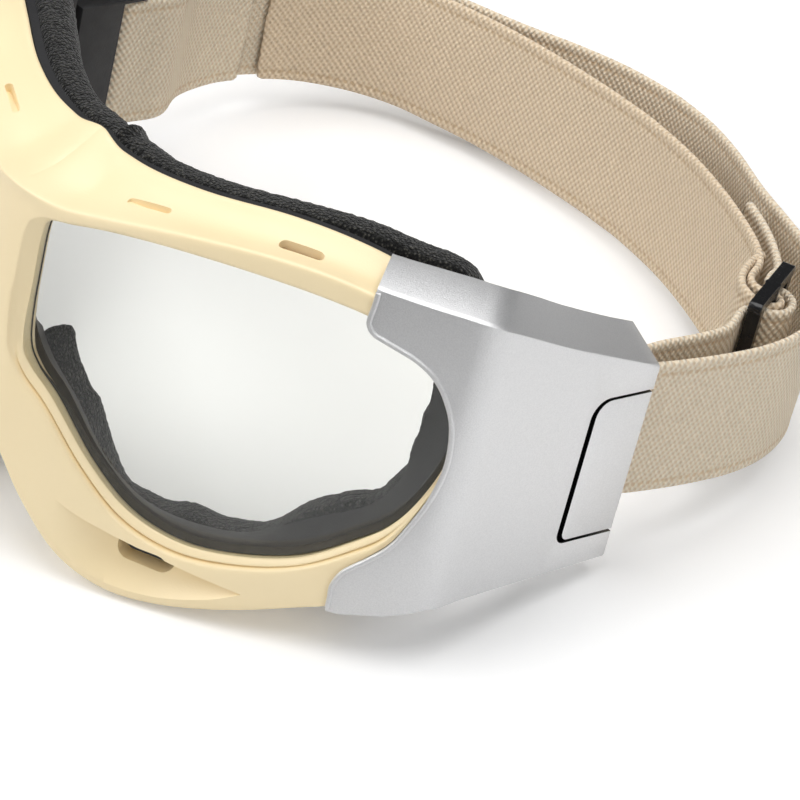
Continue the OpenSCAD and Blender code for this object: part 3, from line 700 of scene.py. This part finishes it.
# %% Lenses, seals and filter pads
lip, lens_thick, tuck = 2.1, 2.2, 1


def lens_piece(name):
    """The plate, in columns from one side of the opening to the other."""
    edge = [from_opening(t, tuck) for t in rings]
    far = max(range(len(edge)), key=lambda i: edge[i][0])
    upper = edge[:far + 1]
    lower = [edge[i % len(edge)] for i in range(len(edge), far - 1, -1)]
    loops = []
    for s in closer_at_ends(upper[0][0] + 0.05, upper[-1][0] - 0.05, 60):
        z0, z1 = lookup(s, lower), lookup(s, upper)
        heights = [z0 + (z1 - z0) * i / 12 for i in range(13)]
        loops.append([shell(s, z, lip + 0.02) for z in heights]
                     + [shell(s, z, lip + lens_thick) for z in reversed(heights)])
    return bar_piece(name, loops)


def seal_section(t):
    """The seal at a station. It is thinner and narrower next to the nose."""
    d, q0 = lip + lens_thick + 0.02, lookup(t[0], [(7, 0.88), (16, 0.4), (26, -0.5)])
    tall = lookup(t[0], [(7, 0.3), (16, 1.2)])
    at = [(q0, 0), (1, 0), (1, 1), (min(q0 + 0.5, 0.96), 1), (min(q0 + 0.2, 0.92), 0.9), (q0, 0.6)]
    return [ring_point(t, q, d + e * tall) for q, e in at]


pad = slot_bar(temple_slot[0], 63.9, 64.9, slot_long - 0.1, temple_slot[2] - 0.1)
pad.name = "brow_pad_left"
smooth(bevel(pad, 0.0003, 3), 40)
lens = smooth(lens_piece("lens_plate_left"), 30)
seal = smooth(ring_piece("seal_ring_left", [seal_section(t) for t in rings]))
print("faces of lens, seal and pad:", [len(made.data.polygons) for made in (lens, seal, pad)])

# %% [markdown]
# Behind the lenses a black carrier goes round both eyes, and carries the foam that lies
# against the face. The foam is a soft ring with a rounded back and a wavy inner edge. A little
# noise on its surface keeps it from looking moulded.

# %% Carrier and foam
flange, foam_thick = 1.6, 7
foam_wave, waves, foam_ripple, ripples = 0.8, 15, 0.3, 41


def carrier_section(t):
    """The carrier at a station: a step behind the lens, and a flange under the foam."""
    w, d, r, drop = wide(t), t[4], t[5], wall_drop(t)
    out = max(w - wall - 0.35, 0.8)
    a, rim = -t[7] * 0.8, max(w - 0.5 - max(t[8], 0), out + 0.3)
    return [ring_point(t, q, depth, rise) for q, depth, rise in (
        (min(0.2, out - 0.5), t[6], 0), (min(1.4, out), t[6] + 0.02, 0), (out, d, r - drop),
        (out + 0.02, d + 0.15, r - drop), (rim, d + 0.15, r - drop / 2),
        (rim, d + flange, r - drop / 2), (a + 0.2, d + flange, 0.4 * r), (a * 0.6 + 0.1, d, 0.3 * r))]


def foam_section(t, i, n):
    """The foam at station i of n, with the wave of its inner edge."""
    w, d, r = wide(t), t[4] + flange + 0.12, t[5]
    turn = 2 * math.pi * i / n
    calm = lookup(abs(t[0]), [(60, 1), (68, 0.25)])
    q0 = (-t[7] + calm * foam_wave * math.sin(waves * turn) + foam_ripple * math.sin(ripples * turn + 1)
          + (1 - calm) * lookup(t[1], [(24, 0), (32, 1.6), (50, 1.6), (56, 0)]))
    q1 = max(w - 0.8 - t[8], q0 + 4.6)
    m = (q0 + q1) / 2
    at = [(q1 - 0.3, 0, 0.95), (q1, 0.25, 0.98), (q1 + 0.1, 0.5, 1), (q1 - 0.2, 0.72, 0.96),
          (q1 - 0.9, 0.88, 0.9), (m + 0.8, 0.98, 0.87), (m, 1, 0.85), (m - 0.8, 0.99, 0.8),
          (q0 + 0.6, 0.88, 0.7), (q0 + 0.1, 0.6, 0.6), (q0, 0.3, 0.5), (q0 + 0.4, 0, 0.4)]
    return [ring_point(t, q, d + e * foam_thick, k * r) for q, e, k in at]


carrier = smooth(outward(ring_piece("lens_carrier", [carrier_section(t) for t in face_rings])))
sections = [foam_section(t, i, len(face_rings)) for i, t in enumerate(face_rings)]
foam = outward(ring_piece("foam_ring", sections))
add_modifier(foam, "SUBSURF", levels=2, render_levels=2)
lumps = bpy.data.textures.new("foam_lumps", "CLOUDS")
for size, height in ((0.004, 0.00012), (0.0009, 0.0004)):
    lumps.noise_scale = size
    add_modifier(foam, "DISPLACE", texture=lumps, strength=height, mid_level=0.5, texture_coords="LOCAL")
smooth(foam, 80)
print("foam:", len(foam.data.polygons), "faces")

# %% [markdown]
# Each arm has a window for its button, cut here. A narrow bevel on every sharp edge catches
# the light, as the real moulded edge does, and a thin bead follows the C-shaped front edge.
# The walls of the gap round a button get painted shade: their faces get a mark, and the
# silver paint turns nearly black there.

# %% Arms
button_long, button_drop, button_z, button_h = 11.9, 1, 20.4, 25.8
button_y = arm_y + arm_len - button_long
side_gap, front_gap = 0.5, 1.2


def corner_points(y, z, r, a0):
    """A quarter circle round (y, z), from the angle a0."""
    return [(y + r * cos(a0 + 10 * k), z + r * sin(a0 + 10 * k)) for k in range(10)]


def window_bar():
    """A bar through the arm's side: open at the rear, and round at the front."""
    y0, z0, z1 = button_y - front_gap, button_z - side_gap, button_z + button_h + side_gap
    y1 = arm_y + arm_len + 5
    r, q = 3 + side_gap, 1.5 + side_gap
    points = ([(y1, z0), (y1, z1)] + corner_points(y0 + r, z1 - r, r, 90)
              + corner_points(y0 + q, z0 + q, q, 180))
    outline = [(y, z - button_drop * (y - button_y) / button_long) for y, z in points]
    return bar_piece("window_cutter", [[(arm_x - d, y, z) for y, z in outline] for d in (-3, 2.5)])


def sideways(path, i):
    """The direction square to a flat path at its point i."""
    a, b = path[max(i - 1, 0)], path[min(i + 1, len(path) - 1)]
    run = math.hypot(b[0] - a[0], b[1] - a[1])
    return (b[1] - a[1]) / run, (a[0] - b[0]) / run


def rim_bead(path, radius):
    """A thin bead along the arm's front edge, from (length, height) points."""
    loops = []
    for i, (s, z) in enumerate(path):
        side = sideways(path, i)
        loops.append([arm_point(s + radius * cos(t) * side[0], z + radius * cos(t) * side[1],
                                -0.02 - arm_proud - radius * sin(t)) for t in range(0, 360, 30)])
    return bar_piece("rim_bead", loops)


def mark_gap_shade(piece):
    """Marks the faces in the gap round the button that don't look outwards or inwards, for painted
    shade.
    """
    shade_marks = piece.data.attributes.new("in_gap", "FLOAT", "FACE")
    for wall_face in piece.data.polygons:
        x, y, z = worn(wall_face.center)
        inside = (button_y - 1.6 < y < arm_y + arm_len - 0.3 and arm_x - 1.7 < abs(x) < arm_x + 0.49
                  and button_z - 2 < z < button_z + button_h + 1)
        shade_marks.data[wall_face.index].value = float(inside and abs(wall_face.normal.x) < 0.4)


arm = arm_body("arm_moulding_left", 0)
cut_out(arm, window_bar())
bevel(arm, 0.0004, angle=38)
bead_path = [(58.6, 66.3), (58.5, 64)] + notch_edge[1:-1] + [(62.55, 13.5), (62.6, 11.4)]
bead = rim_bead(smooth_path(bead_path, 5), 0.42)
add_modifier(arm, "BOOLEAN", operation="UNION", solver="MANIFOLD", object=bead)
bpy.data.objects.remove(bead)
# The walls of the button's gap are marked for painted shade.
mark_gap_shade(arm)
smooth(arm, 30)
print("arm:", len(arm.data.polygons), "faces")

# %% [markdown]
# The strap is a flat ribbon of woven elastic on a route that passes round an anchor pin on
# each side. On the left it goes through the slider and back, and on the right it is sewn to
# itself. Its section has rolled edges and a groove beside them. Each ribbon carries a UV map
# in millimetres, along and across, for its weave.

# %% Strap routes
slider_xy, slider_turn = (57.2, 114.5), 114
pin_y, pin_d, pin_r = arm_y + arm_len - 2.7, 4.5, 1.1
loop_r = pin_r + 0.1 + strap_thick / 2


def at_slider(t, n):
    """A point in plan, t along the slider's plate and n square to it."""
    return (slider_xy[0] + t * cos(slider_turn) + n * sin(slider_turn),
            slider_xy[1] + t * sin(slider_turn) - n * cos(slider_turn))


outer_back = [(0, 151), (10, 149.8), (20, 146.4), (30, 141.6), (40, 137.8), (49, 134),
              (57, 128.5), (63.4, 121), (67, 112), (68, 103), (67, 93), (65.2, 84)]
pin_loop = [(arm_x - pin_d + loop_r * cos(-22.5 * k), pin_y + loop_r * sin(-22.5 * k))
            for k in range(9)]
weave_over = [(-14, -2.1), (-8.6, -2.25), (-5.7, -1.9), (-4.6, 0), (-3.9, 2), (-2.4, 3.5), (0, 4),
              (2.4, 3.5), (3.9, 2), (4.6, 0), (5.7, -1.9), (8.6, -2.25), (12, -2.2)]
tail = [(43.2, 130.2), (36.5, 134), (32.5, 135.8)]
inner_back = [(0, 139.8), (6, 139.5), (18, 137.2), (30, 133), (40, 128.2), (45.4, 124.8)]
neck = [(10, -5), (5.4, -4.8), (2.7, -3.5)]
round_bar = [(2.1 * cos(a), 2.1 * sin(a)) for a in range(-30, 211, 20)]
fold = [(-0.9, -2.9), (1.2, -4.9), (5, -6.2), (10, -6.4), (14.5, -5.6)]
sewn_tail = [(64.6, 93.4), (66.35, 103), (65.8, 109.3)]
inner_sewn = [(0, 139.8), (6, 139.9), (18, 139.2), (30, 137.6), (40, 135), (48.1, 132.4),
              (55.8, 127.2), (61.9, 120), (65.1, 112.7)]
to_pin = smooth_path(outer_back + [(pin_loop[0][0], pin_y + 3.5), pin_loop[0]], 4) + pin_loop[1:8]
from_pin = [pin_loop[8], (pin_loop[8][0], pin_y + 3.5), (59.9, 86)]
through_slider = [at_slider(*w) for w in weave_over]
outer_left = to_pin + smooth_path(from_pin + [(60.9, 94)] + through_slider + tail, 3)
outer_right = to_pin + smooth_path(from_pin + sewn_tail, 4)
inner_left = smooth_path(inner_back + [at_slider(*w) for w in neck + round_bar + fold], 4)
inner_right = smooth_path(inner_sewn, 4)


def both_sides(left, right):
    """A route over both sides of the head, from the wearer's right end to the left one."""
    return [(-x, y) for x, y in right[:0:-1]] + list(left)


def ribbon(name, route):
    """A strap along a route in plan, upright, with rolled edges."""
    half_edge = [(0, 0), (0.06, 0.45), (0.35, 0.85), (0.9, 1), (1.5, 0.92), (1.9, 0.7), (2.3, 0.86),
                 (3, 0.9)]
    middle_band = [(strap_wide * k / 6, 0.9) for k in range(2, 5)]
    across = half_edge + middle_band + [(strap_wide - a, b) for a, b in reversed(half_edge)]
    section = [(strap_low + a, b * strap_thick / 2) for a, b in across]
    section += [(strap_low + a, -b * strap_thick / 2) for a, b in across[-2:0:-1]]
    loops, length = [], [0.0]
    for i, p in enumerate(route):
        side = sideways(route, i)
        loops.append([(p[0] + o * side[0], p[1] + o * side[1], z) for z, o in section])
        if i:
            length.append(length[-1] + math.dist(p, route[i - 1]))
    made = bar_piece(name, loops)
    layer = made.data.uv_layers.new(name="weave")
    for corner_of_face in made.data.loops:
        i, j = divmod(corner_of_face.vertex_index, len(section))
        layer.data[corner_of_face.index].uv = (length[i], section[j][0] - strap_low)
    add_modifier(made, "SUBSURF", levels=1, render_levels=1)
    print(name, "is", round(length[-1]), "mm long")
    return smooth(made, 50)


outer_band = ribbon("long_strap", both_sides(outer_left, outer_right))
inner_band = ribbon("rear_band", both_sides(inner_left, inner_right))

# %% [markdown]
# The slider, clips, pins, screws, covers and buttons have the right shape in the CAD model,
# but perfectly sharp edges. A copy of each is merged from its loose triangles, its flat faces
# are made whole again, and it gets a small bevel.

# %% Bevelled copies of the small hard parts
def eased_copy(node, name, width):
    """A copy of a CAD node, with its edges rounded by a width in metres."""
    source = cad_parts[node]
    made = bpy.data.objects.new(name, source.data.copy())
    bpy.context.scene.collection.objects.link(made)
    made.data.materials.clear()
    edit(made)
    bpy.ops.mesh.select_all(action="SELECT")
    bpy.ops.mesh.remove_doubles(threshold=1e-6)
    bpy.ops.mesh.dissolve_limited(angle_limit=math.radians(2))
    bpy.ops.object.mode_set(mode="OBJECT")
    smooth(bevel(made, width), 40)
    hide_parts(node)
    return made


hard = {}
for node, width in (("slider", 0.00035), ("clip", 0.0002), ("anchor_pin", 0.0001),
                    ("arm_screw", 0.0001), ("arm_cover", 0.0001), ("button", 0.0004)):
    for side in ("left",) if node == "slider" else ("left", "right"):
        hard[node + "_" + side] = eased_copy(node + "_" + side, node + "_eased_" + side, width)
# The walls of each button are marked for painted shade as well.
for side in ("left", "right"):
    mark_gap_shade(hard["button_" + side])
print(len(hard), "bevelled copies")

# %% [markdown]
# Shader maths reads best as plain expressions. A small class wraps a socket, so that adding
# or multiplying two of them adds the Math node that does it. One method makes any other node.

# %% Writing materials as expressions
class Value:
    """A number that a shader works out, ready to be used in a Python expression."""

    def __init__(self, finish, socket):
        self.finish, self.socket = finish, socket

    def math(self, operation, *others):
        inputs = dict(enumerate((self,) + others))
        return self.finish.node("ShaderNodeMath", {"operation": operation}, inputs)

    def __add__(self, other):
        return self.math("ADD", other)

    def __sub__(self, other):
        return self.math("SUBTRACT", other)

    def __mul__(self, other):
        return self.math("MULTIPLY", other)

    def __rsub__(self, other):
        return self.finish.node("ShaderNodeMath", {"operation": "SUBTRACT"}, {0: other, 1: self})

    __radd__, __rmul__ = __add__, __mul__


class Finish:
    """A material with one Principled BSDF. Fixed values go on its own sockets."""

    def __init__(self, name, **fixed):
        self.material = bpy.data.materials.new(name)
        self.material.use_nodes = True
        self.tree = self.material.node_tree
        self.bsdf = self.tree.nodes["Principled BSDF"]
        self.feed(**fixed)

    def put(self, socket, value):
        """Links a Value to a socket, or sets a number, a colour or a vector on it."""
        if isinstance(value, Value):
            self.tree.links.new(value.socket, socket)
        elif isinstance(value, tuple) and len(value) == 3 and socket.type == "RGBA":
            socket.default_value = value + (1,)
        else:
            socket.default_value = value

    def node(self, kind, settings=None, inputs=None, output=0):
        """Any node: its type, its settings, what goes into its sockets, and the output used."""
        made = self.tree.nodes.new(kind)
        for name, value in (settings or {}).items():
            if name == "stops":
                ramp = made.color_ramp
                while len(ramp.elements) < len(value):
                    ramp.elements.new(0.5)
                for element, (place, colour) in zip(ramp.elements, value):
                    element.position = place
                    element.color = colour + (1,)
            else:
                setattr(made, name, value)
        for name, value in (inputs or {}).items():
            self.put(made.inputs[name], value)
        return Value(self, made.outputs[output])

    def feed(self, **sockets):
        """Puts values on the BSDF's own sockets."""
        for name, value in sockets.items():
            self.put(self.bsdf.inputs[name.replace("_", " ")], value)
        return self

    def place(self):
        """Object coordinates, in metres."""
        return self.node("ShaderNodeTexCoord", output="Object")

    def noise(self, scale, detail, roughness=0.5, at=None):
        """Noise from 0 to 1, over the piece or over other coordinates."""
        return self.node("ShaderNodeTexNoise", {}, {"Vector": at or self.place(), "Scale": scale,
                                                    "Detail": detail, "Roughness": roughness})

    def mix(self, amount, a, b):
        """A colour between a and b."""
        return self.node("ShaderNodeMix", {"data_type": "RGBA"}, {"Factor": amount, 6: a, 7: b}, 2)

    def ramp(self, value, *stops):
        """A colour from a value, between stops of a place and a colour."""
        return self.node("ShaderNodeValToRGB", {"stops": stops}, {"Fac": value})

    def bump(self, height, distance):
        """Raises the surface by the height times a distance in metres, and reports the finish."""
        sockets = {"Strength": 1.0, "Distance": distance, "Height": height}
        self.feed(Normal=self.node("ShaderNodeBump", {}, sockets))
        print(self.material.name, "has", len(self.tree.nodes), "nodes")


print("materials can be written as expressions")

# %% [markdown]
# The front is satin moulded plastic: one warm cream colour that varies very little, a soft
# gloss, and a surface that is almost smooth. Its bump is far smaller than a millimetre.

# %% Cream plastic
cream = Finish("cream_plastic", Coat_Weight=0.12, Coat_Roughness=0.25)
clouds = cream.noise(55, 2)
cream.feed(Base_Color=cream.mix(clouds, (0.95, 0.78, 0.48), (0.975, 0.82, 0.53)),
           Roughness=cream.noise(900, 2) * 0.08 + 0.36)
cream.bump(cream.noise(2600, 2) + cream.noise(160, 2) * 1.5, 0.00002)

# %% [markdown]
# The arms are silver: a metallic paint with a fine grain. The grain is a small bump and a
# small change in roughness, so that it glitters softly rather than showing as spots. Where a
# face is marked as a wall of the button's gap, the colour is nearly black instead: painted
# shade in the gap.

# %% Silver paint
silver = Finish("silver_paint", Metallic=0.9, Coat_Weight=0.25, Coat_Roughness=0.2)
grain = silver.noise(4200, 4, 0.8)
# Painted shade: the marked walls of the button's gap turn nearly black.
gap_shade_here = silver.node("ShaderNodeAttribute", {"attribute_name": "in_gap"}, output="Fac")
paint = silver.mix(grain, (0.66, 0.66, 0.67), (0.97, 0.97, 0.97))
silver.feed(Base_Color=silver.mix(gap_shade_here, paint, (0.008, 0.008, 0.008)),
            Roughness=grain * 0.14 + 0.38)
silver.bump(grain, 0.00007)

# %% [markdown]
# Black plastic parts differ in gloss: the slider shines, while the carrier, the clips and the
# covers are matt. Both have a fine moulded texture. The seals are a softer black rubber, and
# the pins, screws and springs are plain steel.

# %% Black plastics, rubber and steel
glossy = Finish("black_gloss_plastic", Base_Color=(0.012, 0.012, 0.013))
glossy.feed(Roughness=glossy.noise(500, 3) * 0.12 + 0.2)
glossy.bump(glossy.noise(1800, 2), 0.00002)
matt = Finish("black_matt_plastic")
matt.feed(Base_Color=matt.mix(matt.noise(300, 3), (0.014, 0.014, 0.015), (0.03, 0.03, 0.032)),
          Roughness=matt.noise(900, 2) * 0.15 + 0.5)
matt.bump(matt.noise(3200, 2), 0.00004)
rubber = Finish("black_rubber")
rubber.feed(Base_Color=rubber.mix(rubber.noise(400, 3), (0.01, 0.01, 0.01), (0.022, 0.022, 0.022)),
            Roughness=rubber.noise(800, 2) * 0.1 + 0.6)
rubber.bump(rubber.noise(2500, 2), 0.00003)
steel = Finish("plain_steel", Metallic=1.0)
steel.feed(Base_Color=steel.mix(steel.noise(900, 3), (0.5, 0.5, 0.51), (0.66, 0.66, 0.67)),
           Roughness=steel.noise(1500, 3) * 0.2 + 0.25)
steel.bump(steel.noise(3000, 2), 0.00001)

# %% [markdown]
# The foam has a napped face: short charcoal fibres that catch the light at their tips. A fine
# noise and small knots make the nap, and sheen gives the pale edge that such a cloth shows.
# The filter pads are an open foam. Their brown is painted shade, standing for the shade
# inside the brow's slot.

# %% Foam
nap = Finish("charcoal_nap", Sheen_Weight=0.3, Sheen_Roughness=0.4, Specular_IOR_Level=0.2)
fibres = nap.noise(2600, 3, 0.7)
knots = nap.node("ShaderNodeTexVoronoi", {}, {"Vector": nap.place(), "Scale": 2000})
pile = fibres * 0.7 - knots * 0.6 + 0.35
nap.feed(Base_Color=nap.ramp(pile, (0.3, (0.003, 0.003, 0.003)), (0.5, (0.016, 0.016, 0.014)),
                             (0.68, (0.1, 0.095, 0.08))),
         Roughness=fibres * 0.1 + 0.85)
nap.bump(pile, 0.0005)

# Painted shade: the pads' brown stands for the shade inside the slot.
pad_foam_shade = Finish("filter_foam_and_painted_shade", Specular_IOR_Level=0.2)
cells = pad_foam_shade.noise(1500, 3)
pad_foam_shade.feed(Base_Color=pad_foam_shade.mix(cells, (0.3, 0.19, 0.09), (0.52, 0.36, 0.19)),
           Roughness=cells * 0.1 + 0.85)
pad_foam_shade.bump(cells, 0.0003)

# %% [markdown]
# A clear lens is mostly what lies behind it, plus reflections that grow towards grazing
# angles. So a faintly tinted transparent shader is mixed with a glossy one, by how far the
# surface turns away from the view.

# %% Clear lens
clear = Finish("clear_lens")
tree = clear.tree
through = plain_node(tree, "ShaderNodeBsdfTransparent", Color=(0.965, 0.97, 0.955, 1))
mirror_like = plain_node(tree, "ShaderNodeBsdfGlossy", Color=(1, 1, 1, 1), Roughness=0.04)
facing = clear.node("ShaderNodeLayerWeight", {}, {"Blend": 0.5}, "Facing")
haze = facing.math("POWER", 5.0) * 0.7 + 0.05
shown = mixed(tree, haze.socket, through.outputs[0], mirror_like.outputs[0])
tree.links.new(shown, tree.nodes["Material Output"].inputs["Surface"])
tree.nodes.remove(clear.bsdf)
print("clear_lens has", len(tree.nodes), "nodes")

# %% [markdown]
# The webbing is a fine twill with rounded edges and a needle line beside each of them. Its
# pattern follows the strap, so it reads the UV map that every ribbon carries: millimetres
# along in U, and across in V.

# %% Woven elastic
middle_line, needle_in = 12.2, 1.9  # from the strap's edge, and from each edge to its needle line


def webbing(name, light, shade):
    """A woven strap, from its lightest and its darkest colour."""
    made = Finish(name, Sheen_Weight=0.25, Sheen_Roughness=0.5, Specular_IOR_Level=0.25)
    uv = made.node("ShaderNodeUVMap", {"uv_map": "weave"})
    split = made.node("ShaderNodeSeparateXYZ", {}, {"Vector": uv})
    along, across = split, Value(made, split.socket.node.outputs[1])
    wobble = made.noise(0.9, 2, at=uv)
    rib = (across * 4.4 + along * 4.8 + wobble * 1.2).math("SINE")
    pick = (along * 6.8 - across * 4.2 + wobble).math("SINE")
    thread = rib * 0.3 + pick * 0.25 + 0.5
    fuzz = made.noise(6, 4, 0.7, at=uv)
    from_edge = middle_line - (across - middle_line).math("ABSOLUTE")
    needle = (1 - (from_edge - needle_in).math("ABSOLUTE") * 2.2).math("MAXIMUM", 0.0)
    stitch = needle * ((along * 4.1).math("SINE") * 0.5 + 0.5)
    tone = thread * 0.95 + fuzz * 0.25 - stitch * 1.2
    made.feed(Base_Color=made.mix(tone, shade, light), Roughness=fuzz * 0.1 + 0.82)
    made.bump(thread + fuzz * 0.4, 0.0004)
    return made


beige = webbing("beige_webbing", (1, 0.89, 0.71), (0.8, 0.61, 0.4))
tan = webbing("tan_webbing", (1, 0.83, 0.62), (0.72, 0.53, 0.33))

# %% [markdown]
# Now the left pieces are mirrored, and every piece gets its finish and the CAD body it rides
# on, while the CAD node that it stands for is hidden. The cheek meshes and the springs stay as
# the CAD model has them, and only get a finish.

# %% Right side, finishes and bodies
def mirrored(piece, name):
    """The wearer's right piece from the left one, as its own mesh."""
    pick_out(piece)
    bpy.ops.object.duplicate()
    made = bpy.context.object
    made.name = name
    made.data.name = name
    made.data.transform(Matrix.Scale(-1, 4, (1, 0, 0)))
    made.data.flip_normals()
    return made


def dress(finish, piece):
    """Gives a piece one finish all over."""
    piece.data.materials.clear()
    piece.data.materials.append(finish.material)
    for f in piece.data.polygons:
        f.material_index = 0


def settle(piece, finish, body, slot, *nodes):
    """Dresses a piece, attaches it to its body and hides the CAD nodes that it stands for. The slot is
    not used.
    """
    dress(finish, piece)
    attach(piece, body)
    if nodes:
        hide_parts(*nodes)


settle(front, cream, "front", "frame", "front_frame")
settle(carrier, matt, "front", "carrier", "carrier")
settle(foam, nap, "front", "foam", "face_foam")
settle(outer_band, beige, "strap", "strap", "outer_strap")
settle(inner_band, tan, "strap", "band", "inner_strap")
for piece, finish, slot, node in ((lens, clear, "lens", "lens"), (seal, rubber, "seal", "lens_seal"),
                                  (arm, silver, "arm", "arm"), (pad, pad_foam_shade, "filter", "brow_filter")):
    other = mirrored(piece, piece.name.replace("left", "right"))
    settle(piece, finish, "front", slot, node + "_left")
    settle(other, finish, "front", slot, node + "_right")
kinds = {"slider": (glossy, "strap", "slider"), "clip": (matt, "strap", "clip"),
         "anchor_pin": (steel, "strap", "pin"), "arm_screw": (steel, "front", "screw"),
         "arm_cover": (matt, "front", "cover")}
for name, piece in hard.items():
    kind = name.rsplit("_", 1)[0]
    finish, body, slot = kinds.get(kind, (silver, name, "button"))
    settle(piece, finish, body, slot)
for side in ("left", "right"):
    dress(matt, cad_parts["cheek_mesh_" + side])
    dress(steel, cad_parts["button_spring_" + side])
print("pieces dressed")
